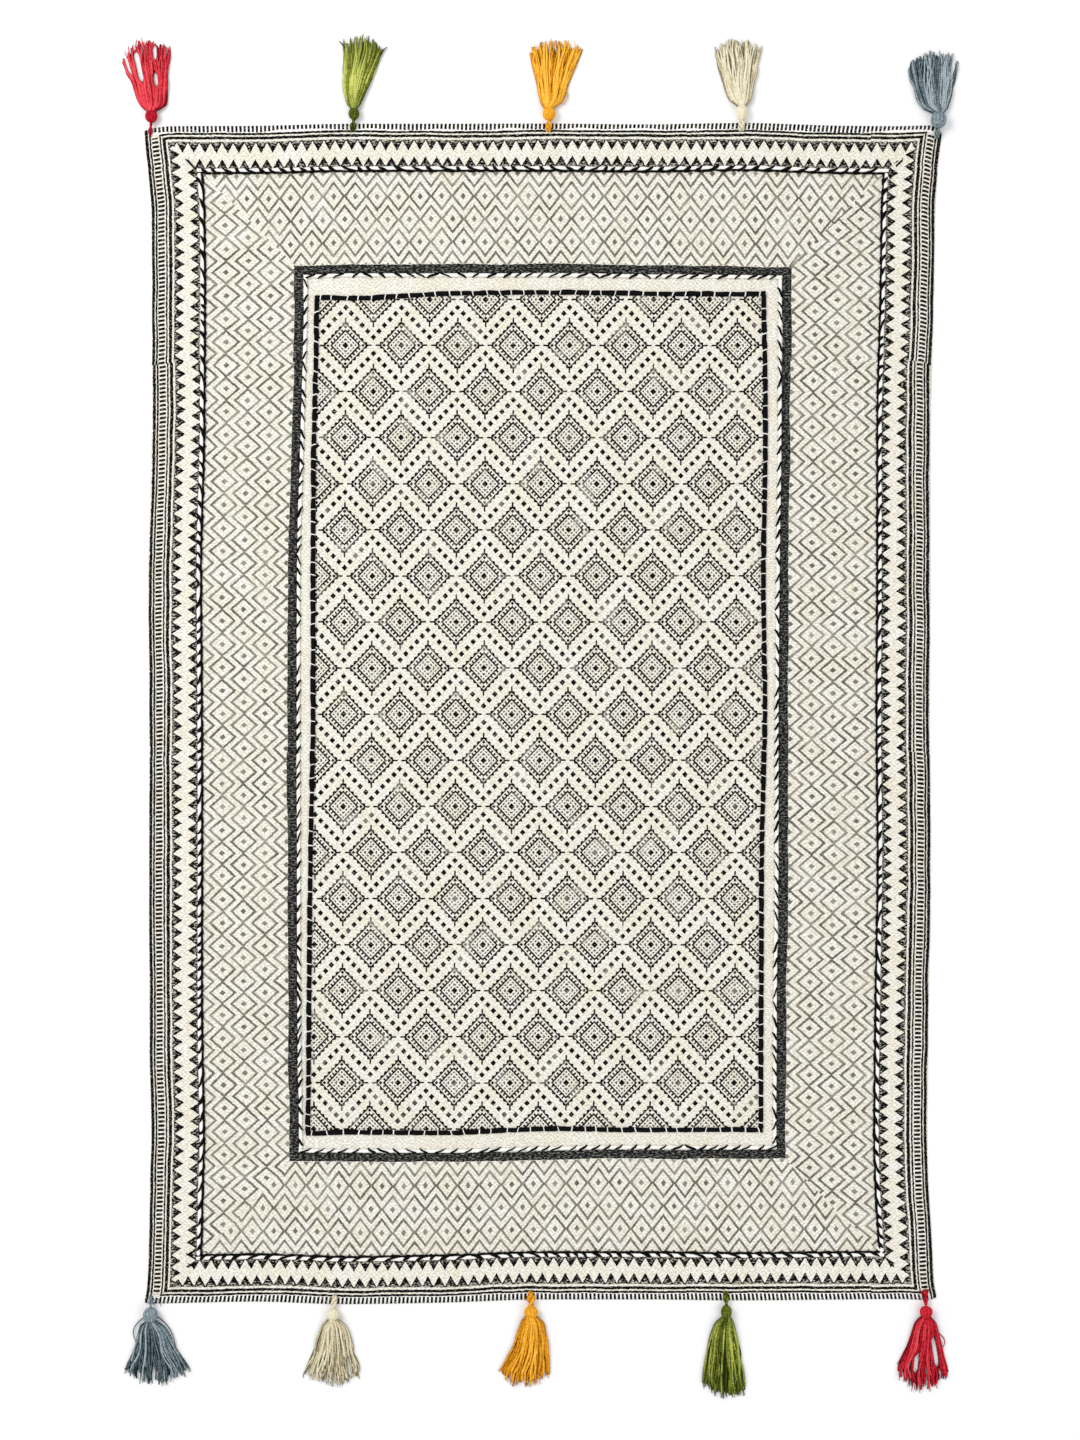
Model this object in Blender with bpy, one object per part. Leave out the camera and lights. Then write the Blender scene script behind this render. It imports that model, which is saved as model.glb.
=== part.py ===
"""Flat-woven cotton dhurrie with three couched yarn lines and a tassel row on each end.

Metres, +Z up. The rug lies face up on the floor, z = 0, its length along Y and its middle at the origin.
"""

import math
import random
from collections import namedtuple

import bmesh
import bpy
from mathutils import Matrix

MM = 0.001
GAP = 0.3 * MM

# Cloth, as cut and before it was laid down by hand
HALF_WIDTH = 608.2 * MM
HALF_LENGTH = 915.7 * MM
CLOTH = 3.0 * MM
CORNER = 6.0 * MM
CORNER_POINTS = 4
OUTLINE_STEP = 45.0 * MM

# How far in from the cloth's edge the outer yarn line and the dark band are, at the sides and at the ends
SIDE_LINE_IN = 79.6 * MM
END_LINE_IN = 70.9 * MM
SIDE_BAND_IN = 219.0 * MM
END_BAND_IN = 218.6 * MM

# The laid cloth isn't a true rectangle: mm that each line lies outwards of one, by share of the half length
SideLie = namedtuple("SideLie", "along left_edge left_band right_band right_edge")
SIDE_LIE = (
    SideLie(-1.000, 9.0, -0.2, -6.5, 11.5),
    SideLie(-0.975, 4.5, -0.2, -6.5, 6.7),
    SideLie(-0.916, 1.9, -0.2, -6.5, 3.4),
    SideLie(-0.797, -0.8, -0.2, -6.5, -3.0),
    SideLie(-0.729, -2.6, -0.2, -6.5, -4.5),
    SideLie(-0.490, 0.6, 2.8, -5.8, -2.5),
    SideLie(-0.252, 0.3, 3.1, -3.3, 0.9),
    SideLie(0.000, 0.6, 3.7, -2.8, -0.8),
    SideLie(0.241, 2.1, 3.3, -1.2, 0.2),
    SideLie(0.479, -3.0, -2.6, 1.6, 0.2),
    SideLie(0.717, -4.2, -7.9, 2.0, 5.4),
    SideLie(0.854, -3.1, -7.9, 2.0, 7.3),
    SideLie(0.930, 1.9, -7.9, 2.0, 11.1),
    SideLie(0.976, 7.8, -7.9, 2.0, 15.8),
    SideLie(1.000, 9.5, -7.9, 2.0, 20.0),
)

# The same for the ends, by share of the half width
EndLie = namedtuple("EndLie", "across bottom_edge bottom_band top_band top_edge")
END_LIE = (
    EndLie(-1.000, 7.0, 4.4, -3.4, -9.3),
    EndLie(-0.930, 6.0, 4.4, -3.4, -3.1),
    EndLie(-0.720, 3.5, 4.4, -3.4, -2.5),
    EndLie(-0.486, 7.4, 4.8, 0.8, 0.6),
    EndLie(-0.243, 5.0, 5.1, 0.8, 0.8),
    EndLie(0.010, 0.2, 1.2, 0.8, 1.0),
    EndLie(0.257, 0.2, -1.1, -0.8, -0.2),
    EndLie(0.500, 1.6, -0.2, -1.7, 1.9),
    EndLie(0.744, 0.3, -1.9, -3.4, -2.4),
    EndLie(0.885, -0.5, -1.9, -3.4, -3.1),
    EndLie(0.974, 0.8, -1.9, -3.4, -2.0),
    EndLie(1.000, -1.6, -1.9, -3.4, -13.0),
)

# Yarn lines: size of the laid yarn, and how far inside the band's outer edge the two inner lines run
YarnLine = namedtuple("YarnLine", "name wide high slot")
OUTER_LINE = YarnLine("outer_yarn", 7.5 * MM, 4.5 * MM, "white_yarn")
MIDDLE_LINE = YarnLine("middle_yarn", 6.0 * MM, 4.0 * MM, "white_yarn")
INNER_LINE = YarnLine("inner_yarn", 5.8 * MM, 4.0 * MM, "black_yarn")
MIDDLE_SIDE_IN = 17.0 * MM
MIDDLE_END_IN = 18.0 * MM
YARN_SIDES = 8
SIDE_POINTS = 17
END_POINTS = 13
BUTT = 0.5 * MM

# The inner line wanders: mm inside the band's outer edge, by share of the half length and of the half width
InnerSide = namedtuple("InnerSide", "along left right")
INNER_SIDE = (
    InnerSide(-0.715, 28.0, 38.8),
    InnerSide(-0.490, 32.7, 38.8),
    InnerSide(-0.252, 34.9, 40.4),
    InnerSide(0.000, 39.7, 35.8),
    InnerSide(0.241, 39.3, 39.6),
    InnerSide(0.479, 35.2, 39.4),
    InnerSide(0.700, 34.3, 42.7),
)
InnerEnd = namedtuple("InnerEnd", "across bottom top")
INNER_END = (
    InnerEnd(-0.571, 45.2, 51.4),
    InnerEnd(-0.486, 46.9, 53.8),
    InnerEnd(-0.243, 46.4, 46.3),
    InnerEnd(0.013, 48.6, 44.7),
    InnerEnd(0.257, 44.9, 45.0),
    InnerEnd(0.500, 46.4, 45.2),
    InnerEnd(0.572, 45.2, 43.6),
)

# Tassel heads and loops, in mm: where the loop crosses the hem, and the head's place, width and length
Head = namedtuple("Head", "name end slot stem_x head_x head_out wide long loop_wide root_in")
HEADS = (
    Head("top_red", 1, "red_yarn", -607.0, -604.0, 10.0, 19.0, 19.0, 5.0, 19.0),
    Head("top_green", 1, "green_yarn", -292.0, -289.0, 14.5, 17.0, 18.5, 6.9, 11.5),
    Head("top_mustard", 1, "mustard_yarn", 13.5, 14.4, 14.0, 20.0, 21.0, 8.0, 11.0),
    Head("top_cream", 1, "cream_yarn", 314.0, 314.3, 16.1, 18.0, 24.0, 8.0, 9.7),
    Head("top_grey", 1, "grey_yarn", 618.2, 619.7, 3.9, 24.0, 26.0, 7.0, 21.7),
    Head("bottom_grey", -1, "grey_yarn", -605.3, -604.9, 21.7, 22.8, 23.3, 5.0, 5.7),
    Head("bottom_cream", -1, "cream_yarn", -319.3, -321.8, 21.0, 20.0, 19.0, 7.0, 5.7),
    Head("bottom_mustard", -1, "mustard_yarn", -14.1, -13.5, 18.2, 21.7, 18.0, 9.5, 11.0),
    Head("bottom_green", -1, "green_yarn", 289.4, 290.2, 17.5, 17.0, 20.0, 6.6, 12.4),
    Head("bottom_red", -1, "red_yarn", 599.8, 600.9, 17.6, 20.0, 18.0, 6.0, 13.0),
)
HEAD_SEGMENTS = 12
HEAD_RINGS = 8
HEAD_FLAT = 0.94
LOOP_HIGH = 0.6
LOOP_POINTS = 9
LOOP_TAPER = 0.55

# Skirts, in mm from the head's middle: both outlines at each station, and how long the cut ends reach
Skirt = namedtuple(
    "Skirt",
    "neck shoulder_left shoulder_right mid_left mid_right end_left end_right "
    "long_left long_mid long_right",
)
SKIRTS = (
    Skirt(20.0, -20.0, 23.4, -32.5, 27.0, -50.0, 31.0, 90.0, 121.0, 108.0),
    Skirt(15.0, -13.4, 12.3, -18.7, 28.2, -18.0, 46.0, 114.0, 122.0, 100.0),
    Skirt(20.0, -14.0, 20.7, -21.5, 33.5, -33.0, 53.5, 103.0, 117.0, 102.0),
    Skirt(18.0, -19.8, 15.3, -32.0, 23.3, -45.5, 34.0, 101.0, 116.5, 105.0),
    Skirt(23.0, -25.0, 16.6, -41.0, 26.0, -48.0, 35.0, 88.6, 109.0, 97.0),
    Skirt(22.0, -19.3, 21.8, -28.4, 39.5, -44.5, 61.5, 89.0, 111.6, 87.0),
    Skirt(20.0, -18.9, 22.3, -31.5, 33.9, -52.0, 45.5, 97.0, 112.0, 98.0),
    Skirt(27.0, -18.0, 21.8, -29.5, 27.5, -56.0, 30.5, 95.0, 117.0, 100.0),
    Skirt(20.0, -18.7, 13.6, -30.4, 22.0, -39.5, 32.5, 113.0, 137.0, 125.0),
    Skirt(21.0, -18.0, 17.8, -29.5, 26.5, -49.0, 38.0, 90.0, 124.5, 99.7),
)
SHOULDER_AT = 20.0
MID_AT = 55.0
ROUNDING = 2.6
ROUNDED_TO = 0.94
START_WIDE = 0.62
CUT_UNEVEN = 2.2
Station = namedtuple("Station", "out x")
SKIRT_SIDES = 14
SECTION_FULLNESS = 0.75
SEED = 14

# Height of the skirt's top and of its underside, in mm, by share of its length
SkirtRow = namedtuple("SkirtRow", "share top under")
SKIRT_ROWS = (
    SkirtRow(0.00, 14.0, 4.2),
    SkirtRow(0.03, 15.6, 2.0),
    SkirtRow(0.11, 14.6, 0.4),
    SkirtRow(0.24, 12.4, 0.2),
    SkirtRow(0.40, 10.4, 0.2),
    SkirtRow(0.60, 8.6, 0.2),
    SkirtRow(0.80, 7.2, 0.2),
    SkirtRow(1.00, 5.2, 0.2),
)

# Colour and roughness of each material
FINISHES = {
    "printed_cotton": ("F0EBDD", 0.92),
    "white_yarn": ("F2EFE8", 0.90),
    "black_yarn": ("1C1C1F", 0.88),
    "red_yarn": ("C9283A", 0.86),
    "green_yarn": ("8D9C3C", 0.86),
    "mustard_yarn": ("E9A32C", 0.86),
    "cream_yarn": ("D9CCA6", 0.86),
    "grey_yarn": ("73808A", 0.86),
}


def empty_scene():
    for obj in list(bpy.data.objects):
        bpy.data.objects.remove(obj, do_unlink=True)


def new_collection(name):
    made = bpy.data.collections.new(name)
    bpy.context.scene.collection.children.link(made)
    return made


def linear(hex_colour):
    """Linear light from a six-digit sRGB colour."""
    shown = [int(hex_colour[i : i + 2], 16) / 255 for i in (0, 2, 4)]
    return [c / 12.92 if c <= 0.04045 else ((c + 0.055) / 1.055) ** 2.4 for c in shown] + [1.0]


def new_material(name, hex_colour, roughness):
    made = bpy.data.materials.new(name)
    made.use_nodes = True
    made.diffuse_color = linear(hex_colour)
    shader = made.node_tree.nodes["Principled BSDF"]
    shader.inputs["Base Color"].default_value = linear(hex_colour)
    shader.inputs["Roughness"].default_value = roughness
    shader.inputs["Metallic"].default_value = 0.0
    return made


def value_at(rows, place, column, at):
    """One column of a table, joined by a smooth curve that doesn't overshoot its rows."""
    places = [getattr(row, place) for row in rows]
    values = [getattr(row, column) for row in rows]
    if at <= places[0]:
        return values[0]
    if at >= places[-1]:
        return values[-1]
    steps = [b - a for a, b in zip(places, places[1:])]
    slopes = [(b - a) / step for a, b, step in zip(values, values[1:], steps)]
    k = max(i for i, start in enumerate(places[:-1]) if at >= start)

    def tangent(i):
        if i == 0 or i == len(slopes):
            return slopes[min(i, len(slopes) - 1)]
        before, after = slopes[i - 1], slopes[i]
        return 2 * before * after / (before + after) if before * after > 0 else 0.0

    t = (at - places[k]) / steps[k]
    return (
        values[k] * (1 + 2 * t) * (1 - t) ** 2
        + values[k + 1] * t * t * (3 - 2 * t)
        + steps[k] * t * (1 - t) * (tangent(k) * (1 - t) - tangent(k + 1) * t)
    )


def along_knots(knots, moves, at):
    """Straight-line value between knots."""
    for (a, move_a), (b, move_b) in zip(zip(knots, moves), zip(knots[1:], moves[1:])):
        if at <= b:
            return move_a + (move_b - move_a) * (at - a) / (b - a)
    return moves[-1]


def laid(u, v):
    """Where a point of the cut cloth comes to lie on the floor."""
    side = v / HALF_LENGTH
    left_edge = -value_at(SIDE_LIE, "along", "left_edge", side)
    left_band = -value_at(SIDE_LIE, "along", "left_band", side)
    right_band = value_at(SIDE_LIE, "along", "right_band", side)
    right_edge = value_at(SIDE_LIE, "along", "right_edge", side)
    line = HALF_WIDTH - SIDE_LINE_IN
    band = HALF_WIDTH - SIDE_BAND_IN
    move_x = along_knots(
        (-HALF_WIDTH, -line, -band, band, line, HALF_WIDTH),
        (left_edge, left_edge, left_band, right_band, right_edge, right_edge),
        u,
    )
    end = u / HALF_WIDTH
    bottom_edge = -value_at(END_LIE, "across", "bottom_edge", end)
    bottom_band = -value_at(END_LIE, "across", "bottom_band", end)
    top_band = value_at(END_LIE, "across", "top_band", end)
    top_edge = value_at(END_LIE, "across", "top_edge", end)
    line = HALF_LENGTH - END_LINE_IN
    band = HALF_LENGTH - END_BAND_IN
    move_y = along_knots(
        (-HALF_LENGTH, -line, -band, band, line, HALF_LENGTH),
        (bottom_edge, bottom_edge, bottom_band, top_band, top_edge, top_edge),
        v,
    )
    return u + move_x * MM, v + move_y * MM


def spread(start, stop, count):
    return [start + (stop - start) * i / (count - 1) for i in range(count)]


def poly_curve(name, points, dimensions, collection, cyclic=False, radii=None):
    data = bpy.data.curves.new(name, "CURVE")
    data.dimensions = dimensions
    spline = data.splines.new("POLY")
    spline.points.add(len(points) - 1)
    for i, (x, y, z) in enumerate(points):
        spline.points[i].co = (x, y, z, 1.0)
        spline.points[i].radius = radii[i] if radii else 1.0
    spline.use_cyclic_u = cyclic
    made = bpy.data.objects.new(name, data)
    collection.objects.link(made)
    return made


def corner_points():
    """The cut cloth's four rounded corners, anticlockwise from the bottom right one."""
    points = []
    for quarter, (across, along) in enumerate(((1, -1), (1, 1), (-1, 1), (-1, -1))):
        middle_u = across * (HALF_WIDTH - CORNER)
        middle_v = along * (HALF_LENGTH - CORNER)
        for turn in spread(quarter - 1, quarter, CORNER_POINTS):
            angle = turn * math.pi / 2
            points.append((middle_u + CORNER * math.cos(angle), middle_v + CORNER * math.sin(angle)))
    return points


def build_rug(collection, material):
    """One flat length of cloth, a little rounded at its corners."""
    points = corner_points()
    outline = []
    for (u, v), (next_u, next_v) in zip(points, points[1:] + points[:1]):
        pieces = max(1, round(math.hypot(next_u - u, next_v - v) / OUTLINE_STEP))
        for i in range(pieces):
            share = i / pieces
            x, y = laid(u + (next_u - u) * share, v + (next_v - v) * share)
            outline.append((x, y, 0.0))
    rug = poly_curve("rug", outline, "2D", collection, cyclic=True)
    rug.data.fill_mode = "BOTH"
    rug.data.extrude = CLOTH / 2
    rug.location.z = CLOTH / 2
    rug.data.materials.append(material)


def yarn_section(name, wide, high, guides):
    """Oval cross-section of a laid yarn, drawn clockwise so that the yarn's cut ends face outwards."""
    turns = [-math.tau * (i + 0.5) / YARN_SIDES for i in range(YARN_SIDES)]
    reach = 1 / math.cos(math.pi / YARN_SIDES)
    oval = [(wide / 2 * reach * math.cos(a), high / 2 * reach * math.sin(a), 0.0) for a in turns]
    section = poly_curve(name, oval, "2D", guides, cyclic=True)
    section.data.fill_mode = "NONE"
    section.hide_render = True
    section.display_type = "WIRE"
    return section


def laid_yarn(name, path, section, material, collection, radii=None):
    yarn = poly_curve(name, path, "3D", collection, radii=radii)
    yarn.data.twist_mode = "Z_UP"
    yarn.data.bevel_mode = "OBJECT"
    yarn.data.bevel_object = section
    yarn.data.use_fill_caps = True
    yarn.data.materials.append(material)


def build_line(line, side_at, end_at, collection, guides, material):
    """Four runs of one yarn line: the end runs pass through the corners and the side runs butt up to them."""
    section = yarn_section(line.name + "_section", line.wide, line.high, guides)
    height = CLOTH + GAP + line.high / 2
    half = line.wide / 2
    for end_name, end in (("top", 1), ("bottom", -1)):
        left = side_at(-1, end_at(end, -1)) - half
        right = side_at(1, end_at(end, 1)) + half
        path = [(*laid(u, end_at(end, u)), height) for u in spread(left, right, END_POINTS)]
        laid_yarn(f"{line.name}_{end_name}", path, section, material, collection)
    for side_name, side in (("left", -1), ("right", 1)):
        bottom = end_at(-1, side_at(side, -HALF_LENGTH)) + half + BUTT
        top = end_at(1, side_at(side, HALF_LENGTH)) - half - BUTT
        path = [(*laid(side_at(side, v), v), height) for v in spread(bottom, top, SIDE_POINTS)]
        laid_yarn(f"{line.name}_{side_name}", path, section, material, collection)


def inner_side_at(side, v):
    column = "left" if side < 0 else "right"
    inside = value_at(INNER_SIDE, "along", column, v / HALF_LENGTH) * MM
    return side * (HALF_WIDTH - SIDE_BAND_IN - inside)


def inner_end_at(end, u):
    column = "bottom" if end < 0 else "top"
    inside = value_at(INNER_END, "across", column, u / HALF_WIDTH) * MM
    return end * (HALF_LENGTH - END_BAND_IN - inside)


def build_yarn_lines(collection, guides, materials):
    outer_u = HALF_WIDTH - SIDE_LINE_IN
    outer_v = HALF_LENGTH - END_LINE_IN
    middle_u = HALF_WIDTH - SIDE_BAND_IN - MIDDLE_SIDE_IN
    middle_v = HALF_LENGTH - END_BAND_IN - MIDDLE_END_IN
    runs = (
        (OUTER_LINE, lambda side, v: side * outer_u, lambda end, u: end * outer_v),
        (MIDDLE_LINE, lambda side, v: side * middle_u, lambda end, u: end * middle_v),
        (INNER_LINE, inner_side_at, inner_end_at),
    )
    for line, side_at, end_at in runs:
        build_line(line, side_at, end_at, collection, guides, materials[line.slot])


def build_head(head, collection, material):
    """Round wound head, lying on the floor, its poles along the tassel. Returns the height of its middle."""
    high = min(head.wide, head.long) * HEAD_FLAT * MM
    middle_z = high / 2 + GAP
    mesh = bpy.data.meshes.new(head.name + "_head")
    ball = bmesh.new()
    bmesh.ops.create_uvsphere(ball, u_segments=HEAD_SEGMENTS, v_segments=HEAD_RINGS, radius=0.5)
    ball.transform(Matrix.Rotation(math.pi / 2, 4, "X"))
    ball.transform(Matrix.Diagonal((head.wide * MM, head.long * MM, high, 1.0)))
    head_y = head.end * (HALF_LENGTH + head.head_out * MM)
    ball.transform(Matrix.Translation((head.head_x * MM, head_y, middle_z)))
    ball.to_mesh(mesh)
    ball.free()
    mesh.shade_smooth()
    mesh.materials.append(material)
    collection.objects.link(bpy.data.objects.new(head.name + "_head", mesh))
    return middle_z


def build_loop(head, middle_z, collection, guides, material):
    """Hanging loop from the hem to the head, narrower where it goes in under the winding."""
    wide = head.loop_wide * MM
    high = wide * LOOP_HIGH
    section = yarn_section(head.name + "_loop_section", wide, high, guides)
    root_y = HALF_LENGTH - head.root_in * MM
    stop_y = HALF_LENGTH + (head.head_out - head.long / 2) * MM - GAP
    rest_z = CLOTH + GAP + high / 2
    path = []
    radii = []
    for share in spread(0.0, 1.0, LOOP_POINTS):
        ease = share * share * (3 - 2 * share)
        x = (head.stem_x + (head.head_x - head.stem_x) * share) * MM
        y = root_y + (stop_y - root_y) * share
        path.append((x, head.end * y, rest_z + max(0.0, middle_z - rest_z) * ease))
        radii.append(1.0 - (1.0 - LOOP_TAPER) * ease)
    laid_yarn(head.name + "_loop", path, section, material, collection, radii)


def skirt_outline(head, skirt, side, out):
    """Distance in mm from the head's middle line to the skirt's left or right outline, some way out."""
    start = head.long / 2 + GAP / MM
    if side < 0:
        reach = (skirt.shoulder_left, skirt.mid_left, skirt.end_left, skirt.long_left)
    else:
        reach = (skirt.shoulder_right, skirt.mid_right, skirt.end_right, skirt.long_right)
    shoulder, mid, end, long = reach
    neck = side * skirt.neck / 2
    stations = (
        Station(start, neck * START_WIDE),
        Station(start + ROUNDING, neck + (shoulder - neck) * (1 - ROUNDED_TO)),
        Station(SHOULDER_AT, shoulder),
        Station(MID_AT, mid),
        Station(long, end),
    )
    return value_at(stations, "out", "x", out)


def build_skirt(head, skirt, chance, collection, material):
    """Skirt of loose yarns as one fanned, flattened solid, its ends cut unevenly."""
    start = head.long / 2 + GAP / MM
    mesh = bpy.data.meshes.new(head.name + "_skirt")
    loft = bmesh.new()
    rings = []
    for row in SKIRT_ROWS:
        ring = []
        middle_z = (row.top + row.under) / 2
        half_z = (row.top - row.under) / 2
        for i in range(SKIRT_SIDES):
            angle = math.tau * i / SKIRT_SIDES
            across = math.cos(angle)
            up = math.copysign(abs(math.sin(angle)) ** SECTION_FULLNESS, math.sin(angle))
            edge_long = skirt.long_left if across < 0 else skirt.long_right
            long = skirt.long_mid + (edge_long - skirt.long_mid) * across * across
            out = start + (long - start) * row.share
            if row.share == 1.0:
                out += chance.uniform(-CUT_UNEVEN, CUT_UNEVEN)
            left = skirt_outline(head, skirt, -1, out)
            right = skirt_outline(head, skirt, 1, out)
            x = (left + right) / 2 + (right - left) / 2 * across
            place = (
                (head.head_x + x) * MM,
                head.end * (HALF_LENGTH + (head.head_out + out) * MM),
                (middle_z + half_z * up) * MM,
            )
            ring.append(loft.verts.new(place))
        rings.append(ring)
    for ring, further in zip(rings, rings[1:]):
        for i in range(SKIRT_SIDES):
            j = (i + 1) % SKIRT_SIDES
            loft.faces.new((ring[i], ring[j], further[j], further[i]))
    loft.faces.new(rings[0])
    loft.faces.new(rings[-1])
    bmesh.ops.recalc_face_normals(loft, faces=loft.faces)
    loft.to_mesh(mesh)
    loft.free()
    mesh.shade_smooth()
    mesh.materials.append(material)
    collection.objects.link(bpy.data.objects.new(head.name + "_skirt", mesh))


def build_tassels(collection, guides, materials):
    chance = random.Random(SEED)
    for head, skirt in zip(HEADS, SKIRTS):
        material = materials[head.slot]
        middle_z = build_head(head, collection, material)
        build_loop(head, middle_z, collection, guides, material)
        build_skirt(head, skirt, chance, collection, material)


def main():
    empty_scene()
    dhurrie = new_collection("dhurrie")
    guides = new_collection("guides")
    materials = {name: new_material(name, *finish) for name, finish in FINISHES.items()}
    build_rug(dhurrie, materials["printed_cotton"])
    build_yarn_lines(dhurrie, guides, materials)
    build_tassels(dhurrie, guides, materials)


main()
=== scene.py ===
"""Looks of the block-printed dhurrie: cloth, couched yarn lines, ten tassels, floor, light and camera."""

import math
import random
from collections import namedtuple

import bpy
import numpy as np
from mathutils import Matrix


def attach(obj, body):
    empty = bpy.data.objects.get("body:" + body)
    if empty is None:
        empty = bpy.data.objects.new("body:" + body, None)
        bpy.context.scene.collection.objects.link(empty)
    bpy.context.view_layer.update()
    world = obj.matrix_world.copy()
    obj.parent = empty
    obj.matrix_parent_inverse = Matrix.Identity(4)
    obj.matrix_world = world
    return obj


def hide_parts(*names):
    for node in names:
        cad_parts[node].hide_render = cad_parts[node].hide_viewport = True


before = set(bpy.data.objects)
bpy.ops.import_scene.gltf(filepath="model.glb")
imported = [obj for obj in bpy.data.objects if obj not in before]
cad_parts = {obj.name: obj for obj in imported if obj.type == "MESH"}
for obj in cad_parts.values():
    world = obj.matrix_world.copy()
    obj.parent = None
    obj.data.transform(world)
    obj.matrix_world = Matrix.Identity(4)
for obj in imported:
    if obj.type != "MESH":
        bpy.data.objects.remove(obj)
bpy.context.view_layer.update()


def table(columns, *rows):
    """Rows of values under named columns."""
    row = namedtuple("Row", columns)
    return [row(*values) for values in rows]


MM = 0.001
GAP = 0.3 * MM
ROOT = "root"

# The photograph's frame: its size and middle in pixels, and the size of a pixel on the rug
PHOTO_HIGH = 1440
PHOTO_MIDDLE = (540.0, 720.0)
RUG_MIDDLE = (539.75, 711.75)
PIXEL = 1.558 * MM
LENS = 50.0
SENSOR = 36.0

# Cloth, as cut
HALF_WIDTH = 608.2 * MM
HALF_LENGTH = 915.7 * MM
CLOTH = 2.7 * MM
EDGE_SHARE = 0.62
CORNER = 6.0 * MM
WEAVE_STEP = 9.0 * MM

# How far in from the cloth's edge the outer yarn line and the dark band are
SIDE_LINE_IN = 79.6 * MM
END_LINE_IN = 70.9 * MM
SIDE_BAND_IN = 219.0 * MM
END_BAND_IN = 218.6 * MM
MIDDLE_SIDE_IN = 17.0 * MM
MIDDLE_END_IN = 18.0 * MM

# The laid cloth isn't a true rectangle: mm by which each line lies outwards, by share of the half length
SIDE_LIE = table(
    "along left_edge left_band right_band right_edge",
    (-1.000, 9.0, -0.2, -6.5, 11.5),
    (-0.975, 4.5, -0.2, -6.5, 6.7),
    (-0.916, 1.9, -0.2, -6.5, 3.4),
    (-0.797, -0.8, -0.2, -6.5, -3.0),
    (-0.729, -2.6, -0.2, -6.5, -4.5),
    (-0.490, 0.6, 2.8, -5.8, -2.5),
    (-0.252, 0.3, 3.1, -3.3, 0.9),
    (0.000, 0.6, 3.7, -2.8, -0.8),
    (0.241, 2.1, 3.3, -1.2, 0.2),
    (0.479, -3.0, -2.6, 1.6, 0.2),
    (0.717, -4.2, -7.9, 2.0, 5.4),
    (0.854, -3.1, -7.9, 2.0, 7.3),
    (0.930, 1.9, -7.9, 2.0, 11.1),
    (0.976, 7.8, -7.9, 2.0, 15.8),
    (1.000, 9.5, -7.9, 2.0, 20.0),
)
END_LIE = table(
    "across bottom_edge bottom_band top_band top_edge",
    (-1.000, 7.0, 4.4, -3.4, -9.3),
    (-0.930, 6.0, 4.4, -3.4, -3.1),
    (-0.720, 3.5, 4.4, -3.4, -2.5),
    (-0.486, 7.4, 4.8, 0.8, 0.6),
    (-0.243, 5.0, 5.1, 0.8, 0.8),
    (0.010, 0.2, 1.2, 0.8, 1.0),
    (0.257, 0.2, -1.1, -0.8, -0.2),
    (0.500, 1.6, -0.2, -1.7, 1.9),
    (0.744, 0.3, -1.9, -3.4, -2.4),
    (0.885, -0.5, -1.9, -3.4, -3.1),
    (0.974, 0.8, -1.9, -3.4, -2.0),
    (1.000, -1.6, -1.9, -3.4, -13.0),
)

# The inner line wanders: mm inside the band's outer edge
INNER_SIDE = table(
    "along left right",
    (-0.715, 28.0, 38.8),
    (-0.490, 32.7, 38.8),
    (-0.252, 34.9, 40.4),
    (0.000, 39.7, 35.8),
    (0.241, 39.3, 39.6),
    (0.479, 35.2, 39.4),
    (0.700, 34.3, 42.7),
)
INNER_END = table(
    "across bottom top",
    (-0.571, 45.2, 51.4),
    (-0.486, 46.9, 53.8),
    (-0.243, 46.4, 46.3),
    (0.013, 48.6, 44.7),
    (0.257, 44.9, 45.0),
    (0.500, 46.4, 45.2),
    (0.572, 45.2, 43.6),
)

# Tassel heads and loops, in mm: where the loop crosses the hem, and the head's place, width and length
HEADS = table(
    "name end slot stem_x head_x head_out wide long loop_wide root_in",
    ("top_red", 1, "red_yarn", -607.0, -604.0, 10.0, 19.0, 19.0, 5.0, 19.0),
    ("top_green", 1, "green_yarn", -292.0, -289.0, 14.5, 17.0, 18.5, 6.9, 11.5),
    ("top_mustard", 1, "mustard_yarn", 13.5, 14.4, 14.0, 20.0, 21.0, 8.0, 11.0),
    ("top_cream", 1, "cream_yarn", 314.0, 314.3, 16.1, 18.0, 24.0, 8.0, 9.7),
    ("top_grey", 1, "grey_yarn", 618.2, 619.7, 3.9, 24.0, 26.0, 7.0, 21.7),
    ("bottom_grey", -1, "grey_yarn", -605.3, -604.9, 21.7, 22.8, 23.3, 5.0, 5.7),
    ("bottom_cream", -1, "cream_yarn", -319.3, -321.8, 21.0, 20.0, 19.0, 7.0, 5.7),
    ("bottom_mustard", -1, "mustard_yarn", -14.1, -13.5, 18.2, 21.7, 18.0, 9.5, 11.0),
    ("bottom_green", -1, "green_yarn", 289.4, 290.2, 17.5, 17.0, 20.0, 6.6, 12.4),
    ("bottom_red", -1, "red_yarn", 599.8, 600.9, 17.6, 20.0, 18.0, 6.0, 13.0),
)
HEAD_FLAT = 0.94

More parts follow.
